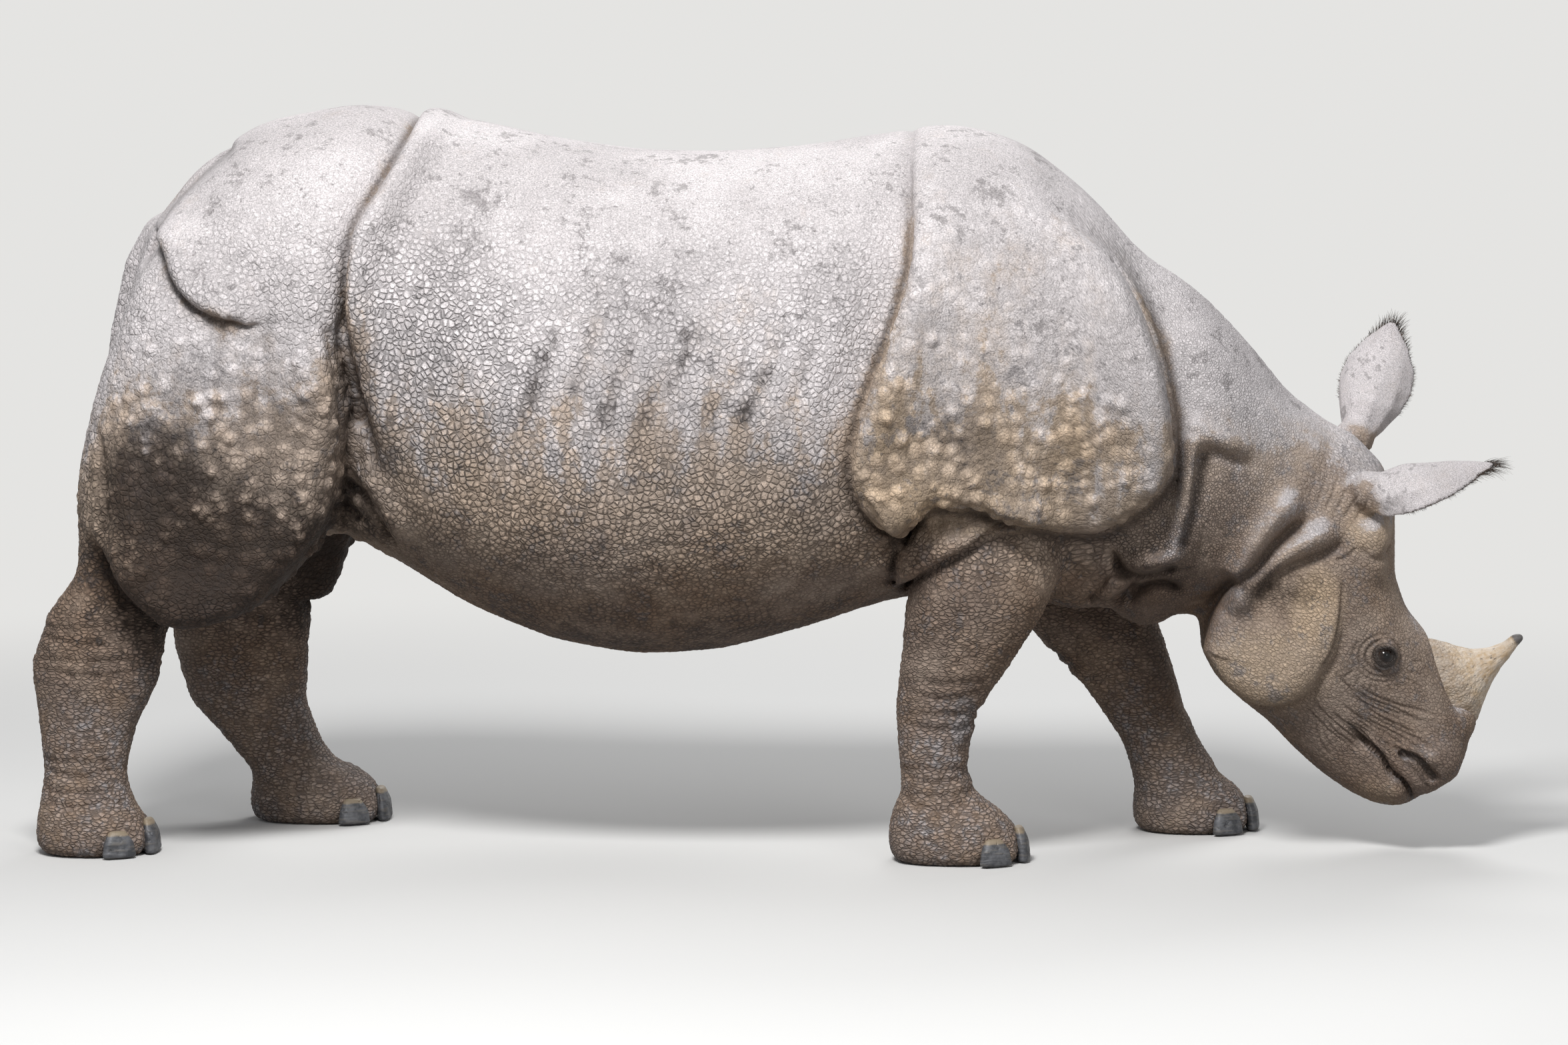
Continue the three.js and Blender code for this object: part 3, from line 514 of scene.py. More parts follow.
# ------------------------------------------------------------------ reading and changing meshes
def read_values(items, name, width=1, kind=np.float32):
    """One value, or `width` values, of each of a mesh's vertices, edges, loops or faces."""
    values = np.empty(len(items) * width, kind)
    items.foreach_get(name, values)
    return values.reshape(-1, width) if width > 1 else values


def points_of(mesh):
    return read_values(mesh.vertices, "co", 3)


def set_points(mesh, points):
    mesh.vertices.foreach_set("co", np.ascontiguousarray(points, np.float32).ravel())
    mesh.update()


def keep_above_floor(mesh):
    """Flattens whatever the relief pushed below the floor."""
    points = points_of(mesh)
    points[:, 2] = np.maximum(points[:, 2], 0.0)
    set_points(mesh, points)


# ------------------------------------------------------------------ the hide as a distance field
def mesh_arrays(names):
    """Vertices and triangles of CAD nodes together."""
    vertices = []
    triangles = []
    start = 0
    for name in names:
        mesh = frame["nodes"][name].data
        mesh.calc_loop_triangles()
        vertices.append(points_of(mesh))
        triangles.append(read_values(mesh.loop_triangles, "vertices", 3, np.int32) + start)
        start += len(mesh.vertices)
    return np.vstack(vertices), np.vstack(triangles).astype(np.uint32)


class Field:
    """Signed distances on a regular grid round a part of the animal, negative inside."""

    def __init__(self, low, high, step, margin=0.05):
        self.step = step
        self.low = np.floor((np.array(low) - margin) / step).astype(int)
        top = np.ceil((np.array(high) + margin) / step).astype(int)
        self.shape = tuple(int(n) for n in top - self.low)
        self.axes = [((self.low[k] + np.arange(self.shape[k])) * step).astype(np.float32) for k in range(3)]
        self.value = None

    def grid_points(self):
        x, y, z = self.axes
        return x[:, None, None], y[None, :, None], z[None, None, :]

    def from_mesh(self, points, triangles=None, quads=None, reach=REACH):
        """Distances to a closed mesh, true as far as `reach`."""
        transform = vdb.createLinearTransform(voxelSize=self.step)
        grid = vdb.FloatGrid.createLevelSetFromPolygons(
            points.astype(np.float32), triangles=triangles, quads=quads, transform=transform,
            halfWidth=reach / self.step)
        value = np.full(self.shape, reach, np.float32)
        grid.copyToArray(value, ijk=tuple(int(n) for n in self.low))
        return value

    def to_quads(self, value, level=0.0):
        grid = vdb.FloatGrid(float(REACH))
        grid.copyFromArray(value, ijk=tuple(int(n) for n in self.low))
        grid.transform = vdb.createLinearTransform(voxelSize=self.step)
        return grid.convertToQuads(isovalue=level)

    def window(self, centre, reach):
        """Index slices and coordinates of the cells within `reach` of a point."""
        slices = []
        coords = []
        for k in range(3):
            first = max(0, int(math.floor((centre[k] - reach) / self.step)) - self.low[k])
            last = min(self.shape[k], int(math.ceil((centre[k] + reach) / self.step)) - self.low[k] + 1)
            slices.append(slice(first, max(first, last)))
            coords.append(self.axes[k][slices[k]])
        x, y, z = coords
        return tuple(slices), x[:, None, None], y[None, :, None], z[None, None, :]

    def sample(self, points):
        """Trilinear values at points (N, 3)."""
        position = points / self.step - self.low
        cell = np.clip(np.floor(position).astype(int), 0, np.array(self.shape) - 2)
        t = (position - cell).astype(np.float32)
        out = np.zeros(len(points), np.float32)
        for corner in range(8):
            offset = np.array([(corner >> k) & 1 for k in range(3)])
            weight = np.prod(np.where(offset, t, 1.0 - t), axis=1)
            index = cell + offset
            out += weight * self.value[index[:, 0], index[:, 1], index[:, 2]]
        return out

    def ball(self, centre, radius, blend):
        """The cells round a ball, and their distances from its surface."""
        slices, x, y, z = self.window(centre, radius + 3 * blend)
        return slices, np.sqrt((x - centre[0]) ** 2 + (y - centre[1]) ** 2 + (z - centre[2]) ** 2) - radius

    def carve(self, centre, radius, blend):
        """Cuts a ball out, with a softened rim."""
        slices, ball = self.ball(centre, radius, blend)
        self.value[slices] = -smooth_min(-self.value[slices], ball, blend)

    def add(self, centre, radius, blend):
        """Melts a ball on."""
        slices, ball = self.ball(centre, radius, blend)
        self.value[slices] = smooth_min(self.value[slices], ball, blend)

    def surface(self, x, z, side):
        """The y of the hide on the given side at a place in side view, or 0 beside the body."""
        i = int(round(x / self.step)) - self.low[0]
        k = int(round(z / self.step)) - self.low[2]
        row = self.value[i, :, k]
        within = np.flatnonzero(row < 0)
        if not len(within):
            return 0.0
        j = within[-1] if side > 0 else within[0]
        beyond = j + (1 if side > 0 else -1)
        t = row[j] / (row[j] - row[beyond])
        return float(self.axes[1][j] + side * t * self.step)


def solid_flesh(field):
    """One closed body from the flesh nodes: their thin parting cuts are filled."""
    points, triangles = mesh_arrays(FLESH)
    parted = field.from_mesh(points, triangles=triangles, reach=4 * field.step)
    closing = 0.0012
    outer, quads = field.to_quads(parted, level=closing)
    return field.from_mesh(outer, quads=quads) + closing


# ------------------------------------------------------------------ where on the body a point lies
def head_share(x, z, start=-0.22, stop=0.06):
    """0 behind the poll, 1 on the head: measured along the head's own length."""
    along = (x - CAD_SHIFT - 1.02) * 0.86 - (z - 0.76) * 0.51
    forefoot = (1.0 - smoothstep(0.22, 0.32, z)) * (1.0 - smoothstep(0.98, 1.08, x))
    return smoothstep(start, stop, along) * (1.0 - forefoot)


def leg_share(x, z):
    """1 on the legs below the trunk."""
    low = 1.0 - smoothstep(0.50, 0.68, z)
    belly = smoothstep(-0.90, -0.80, x) * (1.0 - smoothstep(0.18, 0.28, x))
    return low * (1.0 - belly) * (1.0 - head_share(x, z))


def fine_share(x, y, z):
    """Where the form is small and keeps its edges: head, lower legs, tail."""
    tail = (1.0 - smoothstep(0.05, 0.09, np.abs(y))) * (1.0 - smoothstep(-1.34, -1.28, x))
    return np.maximum(np.maximum(head_share(x, z), leg_share(x, z)), tail).astype(np.float32)


def round_off(field):
    """Rounds the drawing's flat facets: broadly on the trunk, finely on the small forms."""
    x, y, z = field.grid_points()
    fine = fine_share(x, y, z)
    coarse = np.ascontiguousarray(field.value[::2, ::2, ::2])
    broad = double(blur(coarse, SMOOTH_TRUNK, 2 * field.step), field.shape)
    small = blur(field.value, SMOOTH_FINE, field.step)
    field.value = broad + (small - broad) * fine


def fold_weight(x, y, z):
    """Folds drawn in side view don't reach the inner faces of the legs or the middle of the belly."""
    behind = (1.0 - smoothstep(-0.72, -0.55, x)) * (1.0 - smoothstep(0.66, 0.84, z))
    reach = np.abs(y) - 0.13 * behind
    weight = np.maximum(smoothstep(0.045, 0.10, reach), smoothstep(0.80, 0.95, z))
    return weight * (1.0 - 0.6 * behind * (y > 0))


def cut_folds(field, folds):
    """Raises the plates and cuts the folds, each cut running in under its plate."""
    x_axis, y_axis, z_axis = field.axes
    for j, y in enumerate(y_axis):
        level = field.value[:, j, :]
        near = np.nonzero(np.abs(level) < REACH * 0.9)
        if not len(near[0]):
            continue
        x = x_axis[near[0]]
        z = z_axis[near[1]]
        if y > 0:
            x = x - left_shift(x, z)
        depth = np.clip(-level[near], 0.0, REACH)
        lean_x = folds.read("lean_x", x, z)
        lean_z = folds.read("lean_z", x, z)
        swell = folds.read("swell", x, z)
        slot = folds.read("slot", x - lean_x * depth, z - lean_z * depth)
        weight = fold_weight(x, y, z)
        level[near] += (slot - swell) * weight


def add_ears(field):
    """The ears grow out of the head with a soft base, and keep their thin walls."""
    for name in EARS:
        points, triangles = mesh_arrays([name])
        low = points.min(axis=0)
        high = points.max(axis=0)
        small = Field(low, high, field.step / 2, margin=0.05)
        ear = small.from_mesh(points, triangles=triangles, reach=0.05)
        small.value = blur(ear, SMOOTH_EAR, small.step) - EAR_THICKEN
        centre = (low + high) / 2
        slices, x, y, z = field.window(centre, float((high - low).max()) / 2 + 0.05)
        shape = np.broadcast(x, y, z).shape
        at = np.stack([np.broadcast_to(c, shape).ravel() for c in (x, y, z)], axis=1)
        last = (small.low + small.shape - 1) * small.step
        within = np.all((at > small.low * small.step) & (at < last), axis=1)
        distance = np.full(len(at), 0.05, np.float32)
        distance[within] = small.sample(at[within])
        field.value[slices] = smooth_min(field.value[slices], distance.reshape(shape), EAR_BLEND)


def eye_centre(name):
    low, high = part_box(name)
    return np.array([(a + b) / 2 for a, b in zip(low, high)])


def shape_face(field):
    """Eye sockets, nostrils and the collar of skin under the horn."""
    (collar_x, collar_z), = drawn([HORN_COLLAR_AT])
    for y in (-0.030, 0.0, 0.030):
        field.add((collar_x, y, collar_z), 0.034, 0.020)
    for name, side in EYES.items():
        field.carve(eye_centre(name), EYE_RADIUS + 0.0015, 0.004)
    for side in (-1.0, 1.0):
        slit = smooth_curve(drawn(NOSTRIL), 0.004)
        places = [(x, field.surface(x, z, side) - side * 0.004, z) for x, z in slit]
        for k, place in enumerate(places):
            share = 0.1 + 0.8 * k / (len(places) - 1)
            field.carve(place, 0.004 + 0.011 * share, 0.005)


# ------------------------------------------------------------------ node graphs, for materials and for relief
class Graph:
    """Adds nodes to a material's or a geometry group's tree."""

    def __init__(self, tree):
        self.tree = tree

    def node(self, kind, settings=None, **values):
        node = self.tree.nodes.new(kind)
        for name, value in (settings or {}).items():
            setattr(node, name, value)
        for name, value in values.items():
            self.feed(node.inputs[name.replace("_", " ")], value)
        return node

    def feed(self, socket, value):
        if isinstance(value, bpy.types.NodeSocket):
            self.tree.links.new(value, socket)
        elif value is not None:
            socket.default_value = value

    def operate(self, kind, operation, values):
        node = self.tree.nodes.new(kind)
        node.operation = operation
        for socket, value in zip(node.inputs, values):
            self.feed(socket, value)
        return node.outputs[0]

    def math(self, operation, *values):
        return self.operate("ShaderNodeMath", operation, values)

    def vector(self, operation, *values):
        return self.operate("ShaderNodeVectorMath", operation, values)

    def add(self, *terms):
        return reduce(lambda total, term: self.math("ADD", total, term), terms)

    def times(self, *factors):
        return reduce(lambda product, factor: self.math("MULTIPLY", product, factor), factors)

    def scaled(self, vector, scale):
        return self.vector("MULTIPLY", vector, scale)

    def step(self, value, low, high):
        """0 below `low`, 1 above `high`, smooth between; runs downward when low is above high."""
        node = self.node("ShaderNodeMapRange", {"interpolation_type": "SMOOTHSTEP"}, Value=value)
        start, stop, first, last = (low, high, 0.0, 1.0) if low < high else (high, low, 1.0, 0.0)
        node.inputs["From Min"].default_value = start
        node.inputs["From Max"].default_value = stop
        node.inputs["To Min"].default_value = first
        node.inputs["To Max"].default_value = last
        return node.outputs["Result"]

    def noise(self, vector, scale, detail=2.0, roughness=0.5, output="Fac"):
        node = self.node("ShaderNodeTexNoise", Vector=vector, Scale=scale, Detail=detail, Roughness=roughness)
        return node.outputs[output]

    def cells(self, vector, scale, spread=0.9):
        """Distance to the middle of the cell, and the cell's own random colour."""
        node = self.node("ShaderNodeTexVoronoi", Vector=vector, Scale=scale, Randomness=spread)
        return node.outputs["Distance"], node.outputs["Color"]

    def edges(self, vector, scale, spread=0.9):
        """Distance to the border of the cell."""
        node = self.node("ShaderNodeTexVoronoi", {"feature": "DISTANCE_TO_EDGE"}, Vector=vector, Scale=scale,
                         Randomness=spread)
        return node.outputs["Distance"]

    def mix(self, factor, first, second):
        node = self.tree.nodes.new("ShaderNodeMix")
        node.data_type = "RGBA"
        self.feed(node.inputs[0], factor)
        self.feed(node.inputs[6], first)
        self.feed(node.inputs[7], second)
        return node.outputs[2]

    def coat(self, colour, paint, mask, share):
        """Paint over a colour where the mask is 1, covering `share` of it."""
        return self.mix(self.times(mask, share), colour, paint)

    def read(self, name, vector=False):
        """A value stored on the mesh's points."""
        if self.tree.type == "GEOMETRY":
            kind = "FLOAT_VECTOR" if vector else "FLOAT"
            node = self.node("GeometryNodeInputNamedAttribute", {"data_type": kind})
            node.inputs["Name"].default_value = name
            return node.outputs["Attribute"]
        node = self.node("ShaderNodeAttribute", {"attribute_name": name})
        return node.outputs["Vector" if vector else "Fac"]


KNOB_SCALE = 28.0       # cells in a metre: the plates' knobs are about 36 mm apart
WEAVE_SCALE = 80.0      # the small pebbles and wrinkles between them
KNOB_HEIGHT = 0.0130
TILE_HEIGHT = 0.0012
DOME_HEIGHT = 0.0022
WEAVE_HEIGHT = 0.0034
GRAIN_HEIGHT = 0.0017


def skin_height(graph):
    """Height of the hide's texture in metres, as far as the mesh can carry it."""
    lay = graph.read("lay", vector=True)
    middle, random = graph.cells(lay, KNOB_SCALE)
    prominent = graph.add(graph.times(graph.step(random, 0.25, 0.80), 0.75), 0.25)
    knobs = graph.times(graph.step(middle, 0.58, 0.08), prominent, graph.read("knob"), KNOB_HEIGHT)
    tiles = graph.times(graph.step(graph.edges(lay, KNOB_SCALE), 0.0, 0.09), graph.read("tile"), TILE_HEIGHT)
    weave, _ = graph.cells(graph.read("weave", vector=True), WEAVE_SCALE)
    domes = graph.times(graph.step(weave, 0.66, 0.10), graph.read("pebble"), DOME_HEIGHT)
    return graph.add(knobs, tiles, domes, graph.read("crinkle"))


def raise_by(piece, height_of, prepare=None):
    """Moves a piece's points along their normals by a node-made height."""
    group = bpy.data.node_groups.new("raise_" + piece.name, "GeometryNodeTree")
    group.interface.new_socket("Geometry", in_out="INPUT", socket_type="NodeSocketGeometry")
    group.interface.new_socket("Geometry", in_out="OUTPUT", socket_type="NodeSocketGeometry")
    graph = Graph(group)
    shape = graph.node("NodeGroupInput").outputs[0]
    if prepare:
        shape = prepare(graph, shape)
    normal = graph.node("GeometryNodeInputNormal").outputs["Normal"]
    offset = graph.vector("SCALE", normal)
    graph.feed(offset.node.inputs["Scale"], height_of(graph))
    move = graph.node("GeometryNodeSetPosition", Geometry=shape, Offset=offset)
    group.links.new(move.outputs[0], graph.node("NodeGroupOutput").inputs[0])
    modifier = piece.modifiers.new("relief", "NODES")
    modifier.node_group = group
    state = bpy.context.evaluated_depsgraph_get()
    mesh = bpy.data.meshes.new_from_object(piece.evaluated_get(state), preserve_all_data_layers=True,
                                           depsgraph=state)
    piece.modifiers.clear()
    piece.data = mesh


def keep_value(graph, shape, name, value, kind="FLOAT"):
    node = graph.node("GeometryNodeStoreNamedAttribute", {"data_type": kind, "domain": "POINT"},
                      Geometry=shape, Value=value)
    node.inputs["Name"].default_value = name
    return node.outputs[0]


def hide_noises(graph, shape):
    """Stores the broad noises on the points, so that the material needn't work them out at every sample,
    then lets the cells' coordinates wander."""
    lay = graph.read("lay", vector=True)
    shape = keep_value(graph, shape, "broad", graph.noise(lay, 3.2, 4.0, 0.6))
    shape = keep_value(graph, shape, "patch", graph.noise(lay, 9.0, 6.0, 0.68))
    shape = keep_value(graph, shape, "blotch", graph.noise(lay, 26.0, 4.0, 0.75))
    wander = graph.vector("SUBTRACT", graph.noise(lay, 11.0, 3.0, output="Color"), (0.5, 0.5, 0.5))
    streaks = graph.noise(graph.scaled(lay, (13.0, 13.0, 1.8)), 1.0, 4.0, 0.6)
    streaks = graph.times(graph.math("SUBTRACT", streaks, 0.5), graph.read("streaky"))
    shape = keep_value(graph, shape, "streak", streaks)
    for name, reach in (("lay", 0.024), ("weave", 0.016)):
        moved = graph.vector("ADD", graph.read(name, vector=True), graph.scaled(wander, (reach,) * 3))
        shape = keep_value(graph, shape, name, moved, "FLOAT_VECTOR")
    return shape


# ------------------------------------------------------------------ materials
PALE = (0.720, 0.680, 0.690, 1.0)        # sun-bleached back
GREY = (0.500, 0.390, 0.305, 1.0)        # flanks
# Umber: partly the hide's own tone, partly painted shade low on the body and beside the folds.
UMBER = (0.225, 0.148, 0.100, 1.0)       # belly, legs, under the folds
BUFF = (0.680, 0.505, 0.335, 1.0)        # dusty shoulder plate and cheek
SLATE = (0.240, 0.220, 0.220, 1.0)       # patches where the dust has gone
# Dark blotches and specks of the hide, and painted shade under the belly, the throat and the lower thigh.
STAIN_AND_SHADE = (0.034, 0.021, 0.015, 1.0)       # dark blotches
# Painted shade in the folds' cuts, the face's creases, the mouth and nostrils, and round the eyes.
SHADE_IN_CREASES = (0.040, 0.030, 0.025, 1.0)
HORN_CREAM = (0.700, 0.590, 0.470, 1.0)
HORN_OCHRE = (0.560, 0.405, 0.250, 1.0)
HORN_FIBRE = (0.720, 0.640, 0.560, 1.0)
HORN_SPECK = (0.090, 0.075, 0.065, 1.0)
HORN_CRUST = (0.080, 0.060, 0.045, 1.0)
HORN_ROOT = (0.300, 0.240, 0.195, 1.0)
HORN_TIP = (0.075, 0.078, 0.090, 1.0)
NAIL_SLATE = (0.040, 0.042, 0.048, 1.0)
NAIL_WORN = (0.150, 0.153, 0.165, 1.0)
NAIL_LINE = (0.210, 0.190, 0.165, 1.0)
NAIL_RIM = (0.300, 0.240, 0.170, 1.0)
PUPIL = (0.002, 0.002, 0.002, 1.0)
IRIS = (0.016, 0.008, 0.005, 1.0)
IRIS_STREAK = (0.008, 0.004, 0.003, 1.0)
EYE_RIM = (0.030, 0.018, 0.013, 1.0)


def new_material(name, roughness):
    material = bpy.data.materials.new(name)
    material.use_nodes = True
    shader = material.node_tree.nodes["Principled BSDF"]
    shader.inputs["Roughness"].default_value = roughness
    return material, shader, Graph(material.node_tree)


def bump(graph, shader, height, strength=1.0):
    node = graph.node("ShaderNodeBump", Height=height, Strength=strength, Distance=1.0)
    graph.feed(shader.inputs["Normal"], node.outputs["Normal"])


def hide_material():
    """Grey armour: pale dust on top, umber below, ochre dust on plate and cheek, dark gaps between cells."""
    material, shader, graph = new_material("hide", 0.78)
    lay = graph.read("lay", vector=True)
    way = graph.read("weave", vector=True)
    knob_middle, _ = graph.cells(lay, KNOB_SCALE)
    weave_edge = graph.edges(way, WEAVE_SCALE, 1.0)
    tile_edge = graph.edges(lay, KNOB_SCALE)
    speck = graph.math("SUBTRACT", graph.noise(lay, 70.0, 4.0, 0.70), 0.5)
    fine = graph.noise(way, 300.0, 3.0, 0.62)
    patch = graph.math("SUBTRACT", graph.read("patch"), 0.5)
    blotch = graph.math("SUBTRACT", graph.read("blotch"), 0.5)
    streak = graph.read("streak")
    flaky = graph.add(graph.times(patch, 1.5), graph.times(blotch, 1.0), graph.times(speck, 0.9))

    # Umber toward the bottom: partly the hide's tone, partly painted shade from the light above and beside
    # the folds.
    low = graph.add(graph.read("low"), graph.times(patch, 1.6), graph.times(streak, 0.9))
    colour = graph.mix(graph.step(low, 0.0, 1.0), GREY, UMBER)
    buff = graph.step(graph.add(graph.read("buff"), graph.times(flaky, 0.8)), 0.20, 1.10)
    colour = graph.coat(colour, BUFF, buff, 0.75)
    peel = graph.add(graph.read("pale"), graph.times(flaky, 0.70), graph.times(streak, 1.7))
    dust = graph.add(graph.times(graph.step(peel, 0.10, 1.0), 0.62),
                     graph.times(graph.step(peel, 0.46, 0.58), 0.30))
    colour = graph.mix(dust, colour, PALE)
    worn = graph.step(graph.add(blotch, graph.times(speck, 0.9), graph.times(patch, 1.0)), 0.12, 0.19)
    colour = graph.coat(colour, SLATE, worn, 0.45)
    colour = graph.coat(colour, SLATE, graph.step(graph.read("broad"), 0.62, 0.38), 0.28)
    pebble = graph.read("pebble")
    # Lighter tops of knobs and pebbles: wear, and painted highlight.
    knob_top = graph.times(graph.step(knob_middle, 0.42, 0.10), graph.read("knob"))
    pebble_top = graph.times(graph.step(weave_edge, 0.14, 0.32), pebble, 0.8)
    worn_and_highlit_tops = graph.math("MAXIMUM", knob_top, pebble_top)
    # Dark stains, with painted shade under belly, throat and lower thigh; less of it on the tops.
    stain_and_shade = graph.add(graph.read("stain_and_shade"), graph.times(flaky, 0.9), graph.times(worn_and_highlit_tops, -0.30))
    colour = graph.coat(colour, STAIN_AND_SHADE, graph.step(stain_and_shade, 0.10, 0.95), 0.90)
    colour = graph.coat(colour, STAIN_AND_SHADE, graph.step(speck, 0.16, 0.24), 0.50)

    # Dark gaps between pebbles, rings round the knobs and cracks between tiles: the hide's dark cracks, and
    # painted shade in them.
    gaps = graph.times(graph.step(weave_edge, 0.19, 0.0), graph.math("POWER", pebble, 0.6))
    gaps = graph.times(gaps, graph.step(graph.add(fine, patch, blotch), 0.22, 0.62))
    hollows = graph.times(graph.step(knob_middle, 0.38, 0.62), graph.read("knob"), 0.7)
    gaps = graph.math("MAXIMUM", gaps, hollows)
    tiles = graph.times(graph.step(tile_edge, 0.035, 0.0), graph.read("tile"), graph.step(fine, 0.30, 0.60))
    dark = graph.math("MAXIMUM", graph.times(gaps, 0.75), graph.times(tiles, 0.60))
    dark = graph.times(dark, graph.math("SUBTRACT", 1.0, graph.times(dust, 0.40)))
    # Painted highlight on the tops, painted shade in the gaps.
    light = graph.add(1.0, graph.times(worn_and_highlit_tops, 0.30))
    shade = graph.math("SUBTRACT", 1.0, graph.times(dark, 0.88))
    _, own = graph.cells(way, WEAVE_SCALE, 1.0)
    varied = graph.add(1.0, graph.times(graph.math("SUBTRACT", own, 0.5), pebble, 0.55))
    tone = graph.times(light, shade, varied, graph.add(graph.times(fine, 2.10), -0.05))
    toned = graph.vector("SCALE", colour)
    graph.feed(toned.node.inputs["Scale"], tone)
    # Painted shade in the creases, the folds' cuts, the mouth, the nostrils and round the eyes.
    colour = graph.mix(graph.read("crease_shade"), toned, SHADE_IN_CREASES)
    graph.feed(shader.inputs["Base Color"], colour)
    rough = graph.add(0.62, graph.times(fine, 0.25), graph.times(graph.read("wet"), -0.35))
    graph.feed(shader.inputs["Roughness"], rough)
    shader.inputs["Specular IOR Level"].default_value = 0.30
    cobbles = graph.times(graph.step(weave_edge, 0.0, 0.20), pebble, WEAVE_HEIGHT)
    height = graph.add(cobbles, graph.times(fine, GRAIN_HEIGHT), graph.times(speck, 0.0022))
    bump(graph, shader, height, 0.9)
    return material


# ------------------------------------------------------------------ meshes
def mesh_object(name, vertices, faces, smooth=True):
    mesh = bpy.data.meshes.new(name)
    sides = faces.shape[1]
    mesh.vertices.add(len(vertices))
    mesh.vertices.foreach_set("co", np.ascontiguousarray(vertices, np.float32).ravel())
    mesh.loops.add(faces.size)
    mesh.loops.foreach_set("vertex_index", np.ascontiguousarray(faces, np.int32).ravel())
    mesh.polygons.add(len(faces))
    mesh.polygons.foreach_set("loop_start", np.arange(0, faces.size, sides, dtype=np.int32))
    mesh.polygons.foreach_set("use_smooth", np.full(len(faces), smooth))
    mesh.update()
    mesh.validate()
    obj = bpy.data.objects.new(name, mesh)
    bpy.context.scene.collection.objects.link(obj)
    return obj


def store(mesh, name, values):
    if values.ndim == 2:
        layer = mesh.attributes.new(name, "FLOAT_VECTOR", "POINT")
        layer.data.foreach_set("vector", np.ascontiguousarray(values, np.float32).ravel())
    else:
        layer = mesh.attributes.new(name, "FLOAT", "POINT")
        layer.data.foreach_set("value", np.ascontiguousarray(values, np.float32))


def relax(points, edges, rounds, weight):
    """Moves each point part of the way to the mean of its neighbours."""
    count = np.bincount(edges.ravel(), minlength=len(points)).astype(np.float32)[:, None]
    for _ in range(rounds):
        mean = np.empty_like(points)
        for k in range(3):
            mean[:, k] = (np.bincount(edges[:, 0], points[edges[:, 1], k], len(points))
                          + np.bincount(edges[:, 1], points[edges[:, 0], k], len(points)))
        mean /= np.maximum(count, 1.0)
        points = points + (mean - points) * weight
    return points


def refine(mesh, chosen):
    """Cuts the chosen faces' edges in two, once."""
    work = bmesh.new()
    work.from_mesh(mesh)
    work.verts.ensure_lookup_table()
    edges = [edge for edge in work.edges if chosen[edge.verts[0].index] and chosen[edge.verts[1].index]]
    bmesh.ops.subdivide_edges(work, edges=edges, cuts=1, use_grid_fill=True)
    large = [face for face in work.faces if len(face.verts) > 4]
    bmesh.ops.triangulate(work, faces=large)
    work.to_mesh(mesh)
    work.free()
    mesh.polygons.foreach_set("use_smooth", np.ones(len(mesh.polygons), bool))
    mesh.update()


# ------------------------------------------------------------------ frames of the small parts
def unit(vector):
    vector = np.asarray(vector, float)
    return vector / np.linalg.norm(vector)


def eye_axes(side):
    """Where an eye looks, and the two directions across it."""
    out = unit((0.20, side * 0.96, 0.12))
    across = unit(np.cross(out, (0.35, 0.0, 1.0)) * -side)
    up = np.cross(across, out) * -side
    return out, across, up


def along_ear(name, points):
    """Where points lie on an ear: the share of its length reached, the distance from its axis and the offset
    from its base, with the ear's length and width directions. The axis comes from the ear's CAD solid."""
    solid, _ = mesh_arrays([name])
    middle = solid.mean(axis=0)
    _, _, axes = np.linalg.svd(solid - middle, full_matrices=False)
    along = axes[0]
    if np.dot(middle - np.mean(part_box("head"), axis=0), along) < 0:
        along = -along
    reach = (solid - middle) @ along
    base = middle + along * reach.min()
    tip = middle + along * reach.max()
    rest = points - base
    share = rest @ along / np.linalg.norm(tip - base)
    off = np.linalg.norm(rest - np.outer(rest @ along, along), axis=1)
    return share, off, rest, along, axes[1]


def ear_share(points):
    """1 on the ears' blades."""
    blade = np.zeros(len(points), np.float32)
    for name in EARS:
        share, off, _, _, _ = along_ear(name, points)
        blade = np.maximum(blade, smoothstep(0.05, 0.30, share) * (off < EAR_REACH) * (share < 1.1))
    return blade


# ------------------------------------------------------------------ values stored on the skin
def oval(x, z, *regions):
    """1 in the ovals in side view, fading round their edges."""
    shares = []
    for centre, half_x, half_z, soft in regions:
        (cx, cz), = drawn([centre])
        r = np.hypot((x - cx) / (half_x / 1000.0), (z - cz) / (half_z / 1000.0))
        shares.append(1.0 - smoothstep(1.0 - soft, 1.0 + soft, r))
    return np.maximum.reduce(shares)


def near_eyes(points):
    """1 in the dark rim round each eyeball: the lids' dark margin and painted shade."""
    rim = np.zeros(len(points), np.float32)
    for name in EYES:
        away = np.linalg.norm(points - eye_centre(name), axis=1)
        rim = np.maximum(rim, 1.0 - smoothstep(EYE_RADIUS + 0.0045, EYE_RADIUS + 0.0110, away))
    return rim


def near_ribs(x, z):
    """1 on the faint streaks where the ribs show."""
    rib = np.zeros(len(x), np.float32)
    flank = (np.abs(x + 0.20) < 0.45) & (z > 0.75) & (z < 1.30)
    for line in rib_lines():
        distance, share = curve_distance(smooth_curve(drawn(line), 0.05), x[flank] + 0.045, z[flank])
        ends = smoothstep(0.0, 0.35, share) * (1.0 - smoothstep(0.75, 1.0, share))
        rib[flank] = np.maximum(rib[flank], np.exp(-(distance / 0.026) ** 2) * ends)
    return rib


def near_lips(at):
    """1 inside the mouth's line and the nostrils: wet there, with painted shade."""
    lips = np.zeros(len(at.x), np.float32)
    face = at.head > 0.5
    for line, reach in ((MOUTH, 0.004), (NOSTRIL, 0.010)):
        distance, _ = curve_distance(smooth_curve(drawn(line), 0.01), at.x[face], at.z[face])
        lips[face] = np.maximum(lips[face], 1.0 - smoothstep(reach * 0.5, reach, np.abs(distance)))
    return lips


